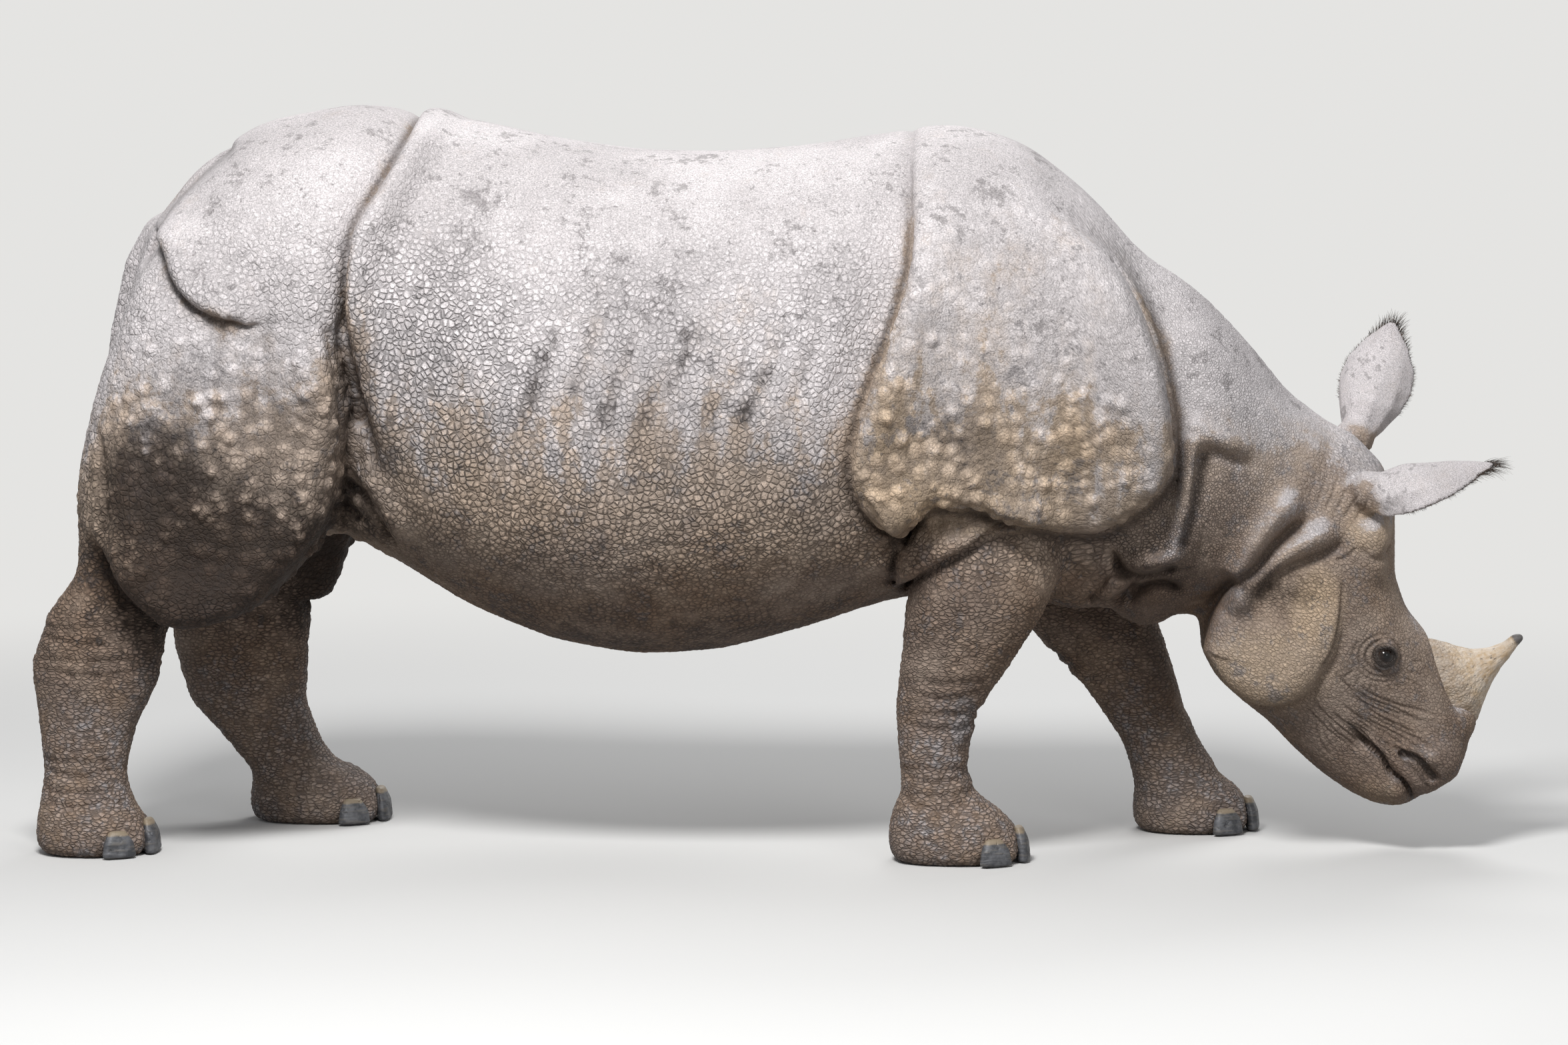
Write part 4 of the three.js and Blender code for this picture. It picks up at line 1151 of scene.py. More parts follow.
def weave_places(at):
    """Coordinates of the small cells: stretched on the legs and belly, finer on neck and head, where they lie
    along the face."""
    weave = at.points.copy()
    stride = np.where(at.x < -0.5, np.where(at.y < 0, -1.36, -1.12), np.where(at.y < 0, 0.37, 0.75))
    weave[:, 0] -= 0.10 * (at.x - stride) * at.leg
    weave[:, 1] -= 0.10 * (at.y - 0.2 * np.sign(at.y)) * at.leg
    weave[:, 2] += 0.80 * (at.z - 0.60) * at.leg
    weave[:, 2] += 0.50 * (at.z - 0.75) * at.belly
    turn = math.radians(-30)
    along = (at.x - 1.05) * math.cos(turn) + (at.z - 0.75) * math.sin(turn)
    front = smoothstep(0.60, 0.90, at.x) * (1.0 - at.leg)
    weave[:, 0] += 1.0 * (at.x - 0.90) * front - 0.90 * along * math.cos(turn) * at.head
    weave[:, 1] += 0.7 * at.y * front
    weave[:, 2] += 1.0 * (at.z - 0.75) * front - 0.90 * along * math.sin(turn) * at.head
    return weave


def body_shares(mesh, folds):
    """For each point of the hide, its place and its shares in the parts of the body. The x is the one where
    the fold map has it: the left side's stride is taken out."""
    points = points_of(mesh)
    x, y, z = points.T
    x = np.where(y > 0, x - left_shift(x, z), x)
    head = head_share(x, z, -0.05, 0.10)
    leg = leg_share(x, z)
    bare = 1.0 - ear_share(points)
    return SimpleNamespace(
        points=points, x=x, y=y, z=z, up=read_values(mesh.vertices, "normal", 3)[:, 2],
        head=head, leg=leg, bare=bare,
        neck=smoothstep(0.60, 0.75, x) * (1.0 - head),
        plate=folds.read("plate", x, z) * smoothstep(0.10, 0.20, np.abs(y)),
        thigh=oval(x, z, THIGH) * (1.0 - smoothstep(1.12, 1.25, z)) * smoothstep(0.45, 0.55, z),
        trunk=(1.0 - head) * (1.0 - leg) * bare,
        belly=(1.0 - smoothstep(0.55, 0.80, z)) * (1.0 - leg) * (1.0 - head),
        folded=fold_weight(x, y, z) * bare)


def relief_values(at, wrinkles):
    """Knobs on plate and thigh, tiles between them, pebbles elsewhere, face creases with painted shade."""
    low_back = 1.0 - smoothstep(1.15, 1.42, at.z)
    knob = at.plate * (0.25 + 0.75 * oval(at.x, at.z, KNOBS_BEHIND_ARM, KNOBS_ON_SHOULDER))
    leg_knobs = 0.22 * at.leg * smoothstep(0.20, 0.35, at.z)
    knob = np.maximum.reduce([knob, at.thigh, 0.10 * at.trunk * low_back, leg_knobs])
    armour = np.maximum(at.plate, at.thigh)
    tile = (0.30 + 0.70 * armour) * at.trunk * (1.0 - 0.6 * (1.0 - low_back) * (1.0 - at.plate))
    tile = (tile + 0.2 * at.head) * at.bare * (1.0 - 0.85 * at.neck)
    sides = 1.0 - 0.75 * smoothstep(0.4, 0.9, np.abs(at.up))
    pebble = at.trunk * sides * (1.0 - 0.70 * at.plate) * (1.0 - 0.5 * at.thigh) * (0.35 + 0.65 * low_back)
    dense = np.maximum(oval(at.x, at.z, PEBBLED_FLANK), 1.0 - smoothstep(0.70, 1.00, at.z))
    pebble = pebble * (0.55 + 0.45 * dense) * (1.0 - 0.2 * at.neck)
    muzzle = at.head * (1.0 - smoothstep(0.25, 0.45, at.z))
    pebble = np.maximum.reduce([pebble, 0.35 * at.neck, 0.85 * at.leg, 0.65 * at.belly, 0.45 * muzzle,
                                0.38 * at.head]) * at.bare
    face = smoothstep(0.02, 0.06, np.abs(at.y)) * at.head * at.bare
    return {"knob": knob, "tile": tile, "pebble": pebble,
            "crinkle": -wrinkles.read("slot", at.x, at.z) * face,
            "crease_shade": np.minimum(2.4 * wrinkles.read("crease_shade", at.x, at.z), 0.6) * face}


def colour_values(at, folds):
    """Pale dust above, umber below, buff dust on plate and cheek, dark stains, painted shade by the folds."""
    # Painted shade in the hollows of neck, throat and hip, and beside the folds.
    hollow = (1.0 - at.head) * oval(at.x, at.z, NECK_HOLLOW_SHADE, THROAT_HOLLOW_SHADE)
    hollow = np.maximum(hollow, 0.9 * oval(at.x, at.z, HIP_HOLLOW_SHADE))
    shade = np.maximum(folds.read("shade", at.x, at.z) * at.folded, 0.8 * hollow)
    roll = np.clip(folds.read("swell", at.x, at.z) / 0.030, 0.0, 1.0) * at.folded
    rib = near_ribs(at.x, at.z)

    pale = 1.15 * smoothstep(0.60, 1.24, at.z + 0.12 * at.up - 0.10 * at.thigh) * (1.0 - 0.25 * at.plate)
    face_dust = 0.12 + 0.45 * smoothstep(0.2, 0.8, at.up) + 0.25 * smoothstep(0.60, 0.82, at.z)
    pale = pale * (1.0 - at.head) + at.head * face_dust
    pale = np.maximum(pale, oval(at.x, at.z, RUMP_DUST) * 0.85)
    pale = pale + 0.28 * at.neck * smoothstep(0.88, 1.02, at.z)
    # Paler ridges on neck and head, dust with a painted highlight; darker where painted shade lies beside the
    # folds.
    pale = (pale + 0.30 * roll * np.maximum(at.neck, at.head)) * (1.0 - 0.60 * shade) - 0.25 * rib
    pale = pale + 0.36 * at.leg * (1.0 - smoothstep(0.25, 0.50, at.z))
    pale = np.maximum(pale, 0.95 * (1.0 - at.bare))

    # Umber toward the bottom, partly painted shade under the light from above; the last term paints shade
    # beside the folds.
    low = 1.0 - smoothstep(0.38, 0.88, at.z)
    low = low + (0.75 - low) * at.leg
    low = low + (0.46 - low) * at.head
    low = low + 0.40 * at.head * (1.0 - smoothstep(0.12, 0.42, at.z)) + 0.35 * shade

    face_buff = np.maximum(0.95 * oval(at.x, at.z, CHEEK_DUST, FACE_DUST, TEMPLE_DUST),
                           0.6 * oval(at.x, at.z, CHIN_DUST))
    buff = np.maximum(at.plate * (1.0 - smoothstep(1.15, 1.50, at.z)) * 0.85, at.head * face_buff)

    # Dark stains, with painted shade on the lower thigh and under the throat.
    stain_and_shade = np.maximum.reduce([
        1.15 * oval(at.x, at.z, THIGH_STAIN),
        1.4375 * oval(at.x, at.z, KNEE_STAIN_AND_SHADE),
        0.85 * at.head * oval(at.x, at.z, JAW_STAIN),
        0.55 * at.plate * oval(at.x, at.z, PLATE_STAIN),
        0.60 * at.neck * oval(at.x, at.z, THROAT_SHADE),
    ]) * smoothstep(0.10, 0.20, np.abs(at.y))
    # Painted shade on the lower trunk, under the belly.
    under = 0.55 * at.trunk * (1.0 - smoothstep(0.44, 0.66, at.z))
    stain_and_shade = np.maximum.reduce([stain_and_shade, 0.44 * rib, under])
    return {"pale": pale, "low": low, "buff": buff, "stain_and_shade": stain_and_shade}


def store_values(mesh, folds, wrinkles):
    """Region shares for relief and colour, and the coordinates that the patterns lie in."""
    at = body_shares(mesh, folds)
    eye = near_eyes(at.points)
    lips = near_lips(at)
    values = {"lay": at.points, "weave": weave_places(at), "streaky": at.trunk, "wet": np.maximum(lips, eye)}
    values.update(relief_values(at, wrinkles))
    values.update(colour_values(at, folds))
    # Painted shade in the folds' cuts and the face's creases, round the eyes, and in the mouth and nostrils.
    cuts = 0.78 * folds.read("crease_shade", at.x, at.z) * at.folded
    crease_shade = np.maximum.reduce([cuts, values["crease_shade"], eye, 0.80 * lips])
    values["crease_shade"] = np.clip(crease_shade, 0, 1)
    for name, value in values.items():
        store(mesh, name, value)


def set_map(mesh, uv):
    """Stores the flat map, named OFBake."""
    layer = mesh.uv_layers.new(name="OFBake")
    layer.data.foreach_set("uv", np.ascontiguousarray(uv, np.float32).ravel())


def unwrap(mesh):
    """Flat charts of the skin: one for each facing direction of each part of the body."""
    points = points_of(mesh)
    normal = read_values(mesh.polygons, "normal", 3)
    centre = read_values(mesh.polygons, "center", 3)
    total = read_values(mesh.polygons, "loop_total", 1, np.int32)
    vertex = read_values(mesh.loops, "vertex_index", 1, np.int32)
    axis = np.abs(normal * (1.0, 1.15, 1.0)).argmax(axis=1)
    facing = axis * 2 + (normal[np.arange(len(axis)), axis] > 0)
    zone = np.digitize(centre[:, 0], [-0.78, 0.10, 0.80])
    zone = zone + 4 * ((centre[:, 2] < 0.60) & (zone < 3))
    zone = np.where(ear_share(centre) > 0.5, 8, zone)
    half = centre[:, 1] > 0
    chart = (zone * 2 + half) * 6 + facing
    chart = np.repeat(chart, total)
    flat_axes = np.array([[1, 2], [0, 2], [0, 1]])[np.repeat(axis, total)]
    uv = np.take_along_axis(points[vertex], flat_axes, axis=1)
    numbers = np.unique(chart)
    boxes = []
    for number in numbers:
        own = uv[chart == number]
        boxes.append((own.min(axis=0), own.max(axis=0)))
    gap = 0.015
    sizes = [high - low + gap for low, high in boxes]
    order = sorted(range(len(numbers)), key=lambda k: -sizes[k][1])
    width = math.sqrt(sum(s[0] * s[1] for s in sizes)) * 1.06
    corner_x = corner_y = row = 0.0
    corners = {}
    for k in order:
        if corner_x + sizes[k][0] > width:
            corner_x = 0.0
            corner_y += row
            row = 0.0
        corners[k] = np.array((corner_x, corner_y)) + gap / 2
        corner_x += sizes[k][0]
        row = max(row, sizes[k][1])
    extent = max(width, corner_y + row)
    for k, number in enumerate(numbers):
        own = chart == number
        uv[own] = (uv[own] - boxes[k][0] + corners[k]) / extent
    set_map(mesh, uv)


# ------------------------------------------------------------------ eyes
def ring_faces(rings, around, flip=False):
    """Quads between successive closed rings of points."""
    faces = []
    for r in range(rings - 1):
        for k in range(around):
            after = (k + 1) % around
            faces.append((r * around + k, r * around + after, (r + 1) * around + after, (r + 1) * around + k))
    return np.array(faces)[:, ::-1] if flip else np.array(faces)


def lid_opening(turn):
    """Half angle of the gap between the lids, in degrees, toward a direction across the eye."""
    tall = 40.0 if math.sin(turn) > 0 else 44.0
    return (abs(math.cos(turn) / 57.0) ** 1.8 + abs(math.sin(turn) / tall) ** 1.8) ** (-1 / 1.8)


def off_eye(name, side, radius, polar, turn):
    """A point off an eye's centre: `polar` from the way it looks, and `turn` round that, in radians."""
    out, across, up = eye_axes(side)
    spoke = across * math.cos(turn) + up * math.sin(turn)
    return eye_centre(name) + radius * (math.cos(polar) * out + math.sin(polar) * spoke)


# A lid's section: degrees beyond the opening, and mm above the eyeball.
LID_SECTION = [(-6, -0.8), (0, 1.0), (3, 2.8), (8, 4.6), (15, 6.0), (21, 5.8), (25, 5.0), (29, 6.6),
               (38, 8.6), (48, 8.6), (60, 6.0), (74, 0.5), (90, -8.0)]


def lid_mesh(name, side):
    """Both lids of an eye as one thick ring that grips the eyeball and runs back into the skin."""
    around = 72
    points = []
    for beyond, lift in LID_SECTION:
        for k in range(around):
            turn = 2 * math.pi * k / around
            heavy = 1.0 + (0.40 * max(0.0, math.sin(turn)) if beyond > 0 else 0.0)
            radius = EYE_RADIUS + lift * 0.001 * heavy
            points.append(off_eye(name, side, radius, math.radians(lid_opening(turn) + beyond), turn))
    return np.array(points), ring_faces(len(LID_SECTION), around, flip=side < 0)


def make_eyeball(name, side, material):
    rings = 40
    around = 48
    points = []
    polar = []
    for r in range(rings + 1):
        angle = math.pi * (0.004 + 0.992 * r / rings)
        radius = EYE_RADIUS + 0.0012 * math.exp(-(math.degrees(angle) / 26.0) ** 2) - 0.0003
        for k in range(around):
            points.append(off_eye(name, side, radius, angle, 2 * math.pi * k / around))
            polar.append(math.degrees(angle))
    faces = ring_faces(rings + 1, around, flip=side < 0)
    ball = mesh_object(name.replace("eye", "eyeball"), np.array(points), faces)
    store(ball.data, "polar", np.array(polar))
    ball.data.materials.append(material)
    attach(ball, "root")
    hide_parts(name)


def eye_material():
    """Nearly black pupil in a dark brown iris, under a wet clear surface."""
    material, shader, graph = new_material("eyeball", 0.12)
    polar = graph.read("polar")
    streak = graph.noise(graph.node("ShaderNodeTexCoord").outputs["Object"], 900.0, 3.0)
    colour = graph.mix(graph.step(polar, 18.0, 22.0), PUPIL, IRIS)
    colour = graph.coat(colour, IRIS_STREAK, graph.times(streak, graph.step(polar, 14.0, 24.0)), 0.6)
    colour = graph.mix(graph.step(polar, 36.0, 42.0), colour, EYE_RIM)
    graph.feed(shader.inputs["Base Color"], colour)
    shader.inputs["Specular IOR Level"].default_value = 0.20
    shader.inputs["Coat Weight"].default_value = 0.25
    shader.inputs["Coat Roughness"].default_value = 0.03
    return material


# ------------------------------------------------------------------ horn and toenails
def refined(node, name, step, soften, swell):
    """A CAD solid again as a fine mesh with its facets rounded off."""
    points, triangles = mesh_arrays([node])
    small = Field(points.min(axis=0), points.max(axis=0), step, margin=0.02)
    distance = small.from_mesh(points, triangles=triangles, reach=0.016)
    distance = blur(distance, soften, step) - swell
    outer, quads = small.to_quads(distance)
    return mesh_object(name, outer, quads)


def horn_relief(graph):
    """Fibres along the horn, and a crust of worn bundles at its base."""
    lay = graph.read("lay", vector=True)
    base = graph.read("base")
    fibres = graph.times(graph.noise(graph.scaled(lay, (9.0, 120.0, 120.0)), 1.0, 4.0, 0.6), 0.0028)
    crust = graph.times(graph.step(graph.edges(lay, 130.0), 0.0, 0.25), base, 0.0007)
    rings = graph.times(graph.noise(graph.scaled(lay, (60.0, 6.0, 6.0)), 1.0, 2.0), 0.0020)
    return graph.add(fibres, crust, rings, graph.times(graph.read("tip"), 0.0035), -0.0030)


def horn_material():
    """Cream and ochre fibres with dark specks, crusted at the base, dark grey at the tip."""
    material, shader, graph = new_material("horn", 0.55)
    lay = graph.read("lay", vector=True)
    base = graph.read("base")
    streak = graph.noise(graph.scaled(lay, (14.0, 160.0, 160.0)), 1.0, 4.0, 0.65)
    patch = graph.noise(lay, 55.0, 4.0, 0.7)
    colour = graph.mix(graph.step(patch, 0.35, 0.65), HORN_CREAM, HORN_OCHRE)
    colour = graph.coat(colour, HORN_FIBRE, graph.step(streak, 0.42, 0.70), 0.55)
    specks = graph.step(graph.noise(graph.scaled(lay, (60.0, 150.0, 150.0)), 1.0, 3.0, 0.7), 0.60, 0.68)
    colour = graph.coat(colour, HORN_SPECK, specks, 0.75)
    crust = graph.times(graph.step(graph.edges(lay, 130.0), 0.10, 0.0), base)
    colour = graph.coat(colour, HORN_CRUST, crust, 0.4)
    root = graph.step(graph.add(base, graph.times(patch, 0.5)), 0.90, 1.25)
    colour = graph.coat(colour, HORN_ROOT, root, 0.5)
    dark_tip = graph.step(graph.add(graph.read("tip"), graph.times(patch, 0.5)), 0.75, 1.15)
    colour = graph.coat(colour, HORN_TIP, dark_tip, 0.9)
    graph.feed(shader.inputs["Base Color"], colour)
    bump(graph, shader, graph.add(horn_relief(graph), graph.times(streak, 0.0008)), 0.9)
    return material


def make_horn():
    horn = refined("horn", "horn_keratin", HORN_STEP, soften=0.0030, swell=0.0022)
    points = points_of(horn.data)
    root, tip = np.insert(drawn([HORN_ROOT_AT, HORN_TIP_AT]), 1, 0.0, axis=1)
    along = unit(tip - root)
    up = unit(np.cross(along, (0.0, 1.0, 0.0)))
    rest = points - root
    length = rest @ along
    share = length / np.linalg.norm(tip - root)
    lay = np.stack([length, rest[:, 1], rest @ up], axis=1)
    store(horn.data, "lay", lay)
    store(horn.data, "base", 1.0 - smoothstep(0.0, 0.45, share))
    store(horn.data, "tip", smoothstep(0.78, 0.97, share))
    raise_by(horn, horn_relief)
    horn.data.materials.append(horn_material())
    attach(horn, "root")
    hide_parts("horn")


def nail_relief(graph):
    lay = graph.read("lay", vector=True)
    lines = graph.times(graph.noise(graph.scaled(lay, (25.0, 25.0, 190.0)), 1.0, 3.0), 0.0016)
    chips = graph.times(graph.step(graph.noise(lay, 70.0, 3.0), 0.60, 0.72), -0.0012)
    return graph.add(lines, chips, -0.0008)


def nail_material():
    """Slate horn with growth lines, scuffed pale, tan where it meets the hide."""
    material, shader, graph = new_material("nail", 0.5)
    lay = graph.read("lay", vector=True)
    rim = graph.read("rim")
    lines = graph.noise(graph.scaled(lay, (25.0, 25.0, 190.0)), 1.0, 3.0)
    patch = graph.noise(lay, 40.0, 4.0, 0.65)
    colour = graph.mix(graph.step(patch, 0.35, 0.70), NAIL_SLATE, NAIL_WORN)
    colour = graph.coat(colour, NAIL_LINE, graph.step(lines, 0.50, 0.66), 0.4)
    colour = graph.mix(graph.step(graph.add(rim, graph.times(patch, 0.5)), 0.75, 1.05), colour, NAIL_RIM)
    graph.feed(shader.inputs["Base Color"], colour)
    bump(graph, shader, nail_relief(graph), 0.9)
    return material


def make_nails():
    material = nail_material()
    for node in sorted(frame["nodes"]):
        if not node.startswith("toenail_"):
            continue
        nail = refined(node, node.replace("toenail", "hoof"), NAIL_STEP, soften=0.0022, swell=0.0004)
        points = points_of(nail.data)
        low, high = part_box(node)
        store(nail.data, "lay", points)
        store(nail.data, "rim", smoothstep(0.60, 1.0, (points[:, 2] - low[2]) / (high[2] - low[2])))
        raise_by(nail, nail_relief)
        keep_above_floor(nail.data)
        nail.data.materials.append(material)
        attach(nail, "root")
        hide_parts(node)


# ------------------------------------------------------------------ hair
def hair_material(name, dark, light):
    material, shader, graph = new_material(name, 0.45)
    tone = graph.noise(graph.node("ShaderNodeTexCoord").outputs["Object"], 160.0, 2.0)
    graph.feed(shader.inputs["Base Color"], graph.mix(graph.step(tone, 0.40, 0.62), dark, light))
    return material


def make_hair(name, hairs, material, radius, droop):
    """Thin tapering hairs as three-sided tubes. Each has a root, a direction, a length, and a place in the
    flat map for its own small patch."""
    rings = 6
    count = len(hairs)
    roots, directions, lengths, places = (np.array(column) for column in zip(*hairs))
    directions = directions / np.linalg.norm(directions, axis=1)[:, None]
    side = np.cross(directions, (0.31, 0.17, 0.93))
    side /= np.linalg.norm(side, axis=1)[:, None]
    other = np.cross(directions, side)
    vertices = np.empty((count, rings, 3, 3))
    for r in range(rings):
        t = r / (rings - 1)
        middle = roots + directions * (lengths * t)[:, None]
        middle[:, 2] -= droop * lengths * t * t
        thick = radius * (1.0 - 0.85 * t)
        for k in range(3):
            turn = 2 * math.pi * k / 3
            vertices[:, r, k] = middle + (side * math.cos(turn) + other * math.sin(turn)) * thick
    quads = ring_faces(rings, 3)
    faces = (quads[None] + (np.arange(count) * rings * 3)[:, None, None]).reshape(-1, 4)
    hair = mesh_object(name, vertices.reshape(-1, 3), faces)
    patch = 0.003
    level = np.tile(np.repeat(np.linspace(0, patch, rings), 3), count)
    across = np.tile(np.tile(np.linspace(0, patch, 3), rings), count)
    u = np.repeat(places[:, 0], rings * 3) + across
    v = np.repeat(places[:, 1], rings * 3) + level
    loops = read_values(hair.data.loops, "vertex_index", 1, np.int32)
    set_map(hair.data, np.stack([u[loops], v[loops]], axis=1))
    hair.data.materials.append(material)
    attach(hair, "root")
    return hair


def ear_fringe(name, skin_points, random):
    """Hairs along an ear's rim, longest at its tip."""
    share, off, rest, along, wide = along_ear(name, skin_points)
    own = (off < EAR_REACH) & (share > 0.25) & (share < 1.1)
    points = skin_points[own]
    reached = share[own]
    across = rest[own] @ wide
    hairs = []
    for sign in (-1.0, 1.0):
        rim = []
        for station in np.linspace(0.36, 0.97, 14):
            near = np.flatnonzero(np.abs(reached - station) < 0.02)
            if len(near):
                rim.append(points[near[(across[near] * sign).argmax()]])
        rim.append(points[reached.argmax()])
        curve = smooth_curve(np.array(rim), 0.0015)
        for k, place in enumerate(curve):
            t = k / (len(curve) - 1)
            for _ in range(3 if t > 0.8 else 2):
                lean = unit(along * (0.45 + 0.9 * t) + wide * sign * (1.0 - 0.8 * t))
                hairs.append((place - lean * 0.004 + random.normal(0, 0.0015, 3),
                              lean + random.normal(0, 0.16, 3),
                              (0.010 + 0.030 * smoothstep(0.60, 1.0, t)) * random.uniform(0.5, 1.3),
                              (0.02 + 0.94 * t, 0.25 + 0.4 * (sign > 0) + random.uniform(0, 0.2))))
    material = hair_material("hair_" + name, (0.018, 0.012, 0.009, 1.0), (0.085, 0.050, 0.030, 1.0))
    hair = make_hair("fringe_" + name, hairs, material, radius=0.0006, droop=0.25)


def tail_tuft(random):
    """Stiff black hairs along both edges of the tail's end."""
    low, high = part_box("tail")
    height = high[2] - low[2]
    points, _ = mesh_arrays(["tail"])
    points = points[points[:, 2] < low[2] + 0.45 * height]
    middle = np.polyfit(points[:, 2], points[:, 0], 2)
    half = 1.4 * np.std(points[:, 0] - np.polyval(middle, points[:, 2]))
    hairs = []
    for k in range(520):
        share = random.random() ** 1.4
        level = low[2] + 0.010 + share * 0.30 * height
        front = 1.0 if k % 2 else -1.0
        lean = unit((front * (0.45 - 0.30 * (share < 0.15)), random.normal(0, 0.16), -1.0))
        edge = np.polyval(middle, level) + front * half * 0.65
        hairs.append(((edge, points[:, 1].mean() + random.normal(0, 0.007), level), lean,
                      random.uniform(0.035, 0.085),
                      (0.1 + 0.7 * share, 0.3 + 0.3 * (front > 0) + random.uniform(0, 0.1))))
    material = hair_material("hair_tail", (0.012, 0.009, 0.008, 1.0), (0.050, 0.032, 0.022, 1.0))
    hair = make_hair("tuft_tail", hairs, material, radius=0.0007, droop=0.1)


def lashes(random):
    """Short dark lashes on the upper lids."""
    hairs = []
    for name, side in EYES.items():
        out, across, up = eye_axes(side)
        for _ in range(70):
            turn = math.radians(random.uniform(25, 155))
            spoke = across * math.cos(turn) + up * math.sin(turn)
            polar = math.radians(lid_opening(turn) + 2.5)
            hairs.append((off_eye(name, side, EYE_RADIUS + 0.0030, polar, turn),
                          out * 0.9 + spoke * 0.35 + random.normal(0, 0.12, 3) - up * 0.35,
                          random.uniform(0.007, 0.013),
                          (0.1 + 0.8 * (turn / math.pi), 0.3 + 0.3 * (side > 0) + random.uniform(0, 0.1))))
    material = hair_material("hair_lash", (0.010, 0.008, 0.007, 1.0), (0.030, 0.022, 0.018, 1.0))
    hair = make_hair("lashes", hairs, material, radius=0.0004, droop=0.3)


# ------------------------------------------------------------------ camera, light, floor
BACKDROP = (0.78, 0.775, 0.76, 1.0)
GROUND = (0.20, 0.19, 0.18, 1.0)         # the floor as it lights the belly, close to turf
SKY = (0.92, 0.95, 1.0, 1.0)
FLOOR_HALF = 9.0


def make_camera():
    """Long lens at standing eye height, a little ahead of square to the right side."""
    azimuth = math.radians(CAMERA_AZIMUTH)
    elevation = math.radians(CAMERA_ELEVATION)
    target = Vector((0.016 + CAD_SHIFT, 0.0, 0.69))
    back = Vector((math.sin(azimuth) * math.cos(elevation), -math.cos(azimuth) * math.cos(elevation),
                   math.sin(elevation)))
    data = bpy.data.cameras.new("camera")
    data.sensor_width = 36.0
    data.lens = CAMERA_LENS
    data.clip_end = 100.0
    camera = bpy.data.objects.new("camera", data)
    camera.location = target + back * CAMERA_DISTANCE
    camera.rotation_euler = (-back).to_track_quat("-Z", "Y").to_euler()
    bpy.context.scene.collection.objects.link(camera)
    bpy.context.scene.camera = camera


def make_light(name, energy, size, location):
    """A round soft light that faces the middle of the body."""
    data = bpy.data.lights.new(name, "AREA")
    data.energy = energy
    data.shape = "DISK"
    data.size = size
    light = bpy.data.objects.new(name, data)
    light.location = location
    light.rotation_euler = (Vector(location) - Vector((0.0, 0.0, 0.7))).to_track_quat("Z", "Y").to_euler()
    bpy.context.scene.collection.objects.link(light)


def seen_directly(graph, *kinds):
    """1 for the rays that show the background, 0 for those that light the animal."""
    path = graph.node("ShaderNodeLightPath")
    return graph.math("MINIMUM", graph.add(*(path.outputs[kind] for kind in kinds)), 1.0)


def mix_shaders(graph, share, first, second, output):
    node = graph.node("ShaderNodeMixShader")
    for socket, value in zip(node.inputs, (share, first, second)):
        graph.feed(socket, value)
    graph.feed(output.inputs[0], node.outputs[0])


def make_world():
    """Even pale light, and the backdrop's colour where it is seen."""
    world = bpy.data.worlds.new("studio")
    bpy.context.scene.world = world
    world.use_nodes = True
    graph = Graph(world.node_tree)
    light = world.node_tree.nodes["Background"]
    light.inputs["Color"].default_value = SKY
    light.inputs["Strength"].default_value = 0.25
    backdrop = graph.node("ShaderNodeBackground", Color=BACKDROP, Strength=1.0)
    mix_shaders(graph, seen_directly(graph, "Is Camera Ray", "Is Glossy Ray"), light.outputs[0],
                backdrop.outputs[0], world.node_tree.nodes["World Output"])


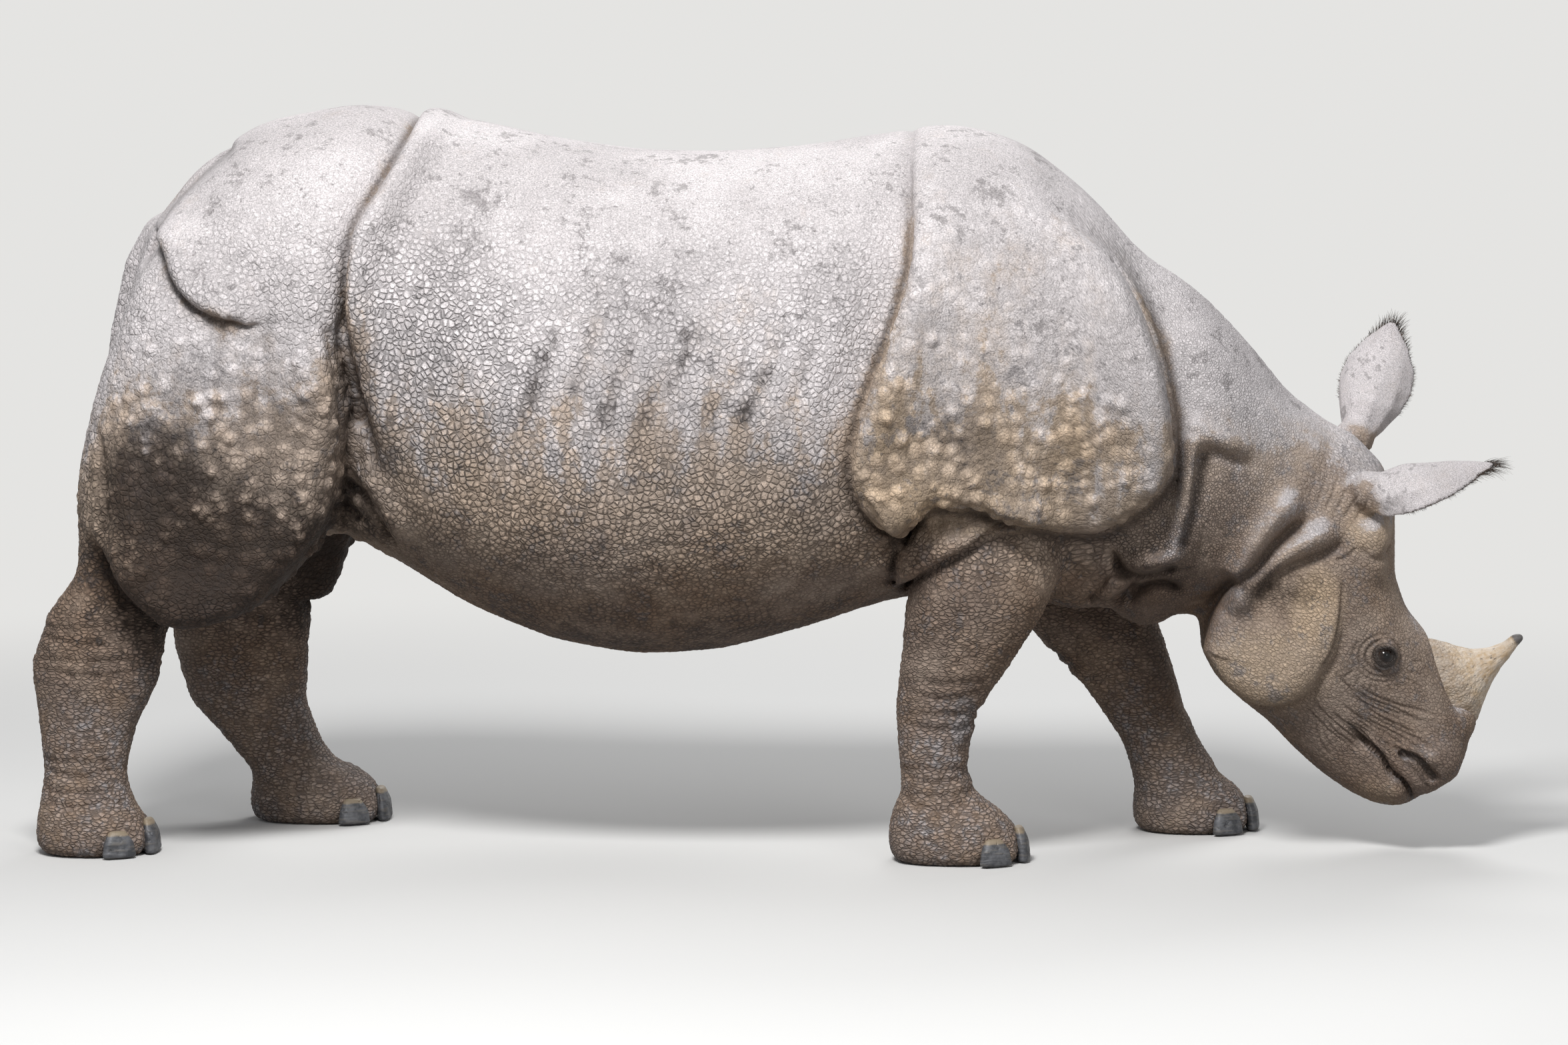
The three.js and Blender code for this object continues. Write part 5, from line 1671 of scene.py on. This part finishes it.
def make_floor():
    """A plain pale floor that runs into the backdrop without a horizon."""
    corners = FLOOR_HALF * np.array([[-1, -1, 0], [1, -1, 0], [1, 1, 0], [-1, 1, 0]])
    floor = mesh_object("floor", corners, np.array([[0, 1, 2, 3]]), smooth=False)
    material, shader, graph = new_material("floor", 0.9)
    seen = seen_directly(graph, "Is Camera Ray", "Is Glossy Ray", "Is Transmission Ray")
    graph.feed(shader.inputs["Base Color"], graph.mix(seen, GROUND, BACKDROP))
    away = graph.node("ShaderNodeVectorMath", {"operation": "LENGTH"})
    graph.feed(away.inputs[0], graph.node("ShaderNodeNewGeometry").outputs["Position"])
    far = graph.step(away.outputs["Value"], 2.2, 5.0)
    plain = graph.node("ShaderNodeEmission", Color=BACKDROP, Strength=1.0)
    mix_shaders(graph, graph.times(far, seen), shader.outputs[0], plain.outputs[0],
                material.node_tree.nodes["Material Output"])
    floor.data.materials.append(material)


def make_stage():
    bpy.context.scene.view_settings.view_transform = "Standard"
    make_world()
    make_floor()
    make_light("key", energy=360.0, size=1.8, location=(-0.8, -4.1, 5.4))
    make_light("fill", energy=85.0, size=4.0, location=(4.5, -7.0, 2.6))
    make_light("rim", energy=150.0, size=3.0, location=(0.8, 5.0, 5.0))


# ------------------------------------------------------------------ build
def make_skin():
    field = Field(*CAD_BOX, VOXEL)
    field.value = solid_flesh(field)
    round_off(field)
    folds = body_map()
    cut_folds(field, folds)
    shape_face(field)
    add_ears(field)
    points, quads = field.to_quads(field.value)
    skin = mesh_object("skin", points, quads)
    mesh = skin.data
    refine(mesh, head_share(points[:, 0], points[:, 2], -0.02, 0.0) > 0.5)
    points = points_of(mesh)
    eased = relax(points, read_values(mesh.edges, "vertices", 2, np.int32), 3, 0.5)
    eased[:, 2] = np.where(points[:, 2] < 0.004, points[:, 2], eased[:, 2])
    set_points(mesh, eased)
    work = bmesh.new()
    work.from_mesh(mesh)
    for name, side in EYES.items():
        lid_points, lid_faces = lid_mesh(name, side)
        lid = mesh_object("lid", lid_points, lid_faces)
        work.from_mesh(lid.data)
        bpy.data.objects.remove(lid)
    work.to_mesh(mesh)
    work.free()
    mesh.update()
    unwrap(mesh)
    store_values(mesh, folds, face_map())
    raise_by(skin, skin_height, hide_noises)
    keep_above_floor(skin.data)
    skin.data.materials.append(hide_material())
    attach(skin, "root")
    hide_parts(*FLESH, *EARS)


make_camera()
make_stage()
make_skin()
wet_eye = eye_material()
for eye_name, eye_side in EYES.items():
    make_eyeball(eye_name, eye_side, wet_eye)
make_horn()
make_nails()
strands = np.random.default_rng(SEED)
skin_points = points_of(bpy.data.objects["skin"].data)
for ear_name in EARS:
    ear_fringe(ear_name, skin_points, strands)
tail_tuft(strands)
lashes(strands)
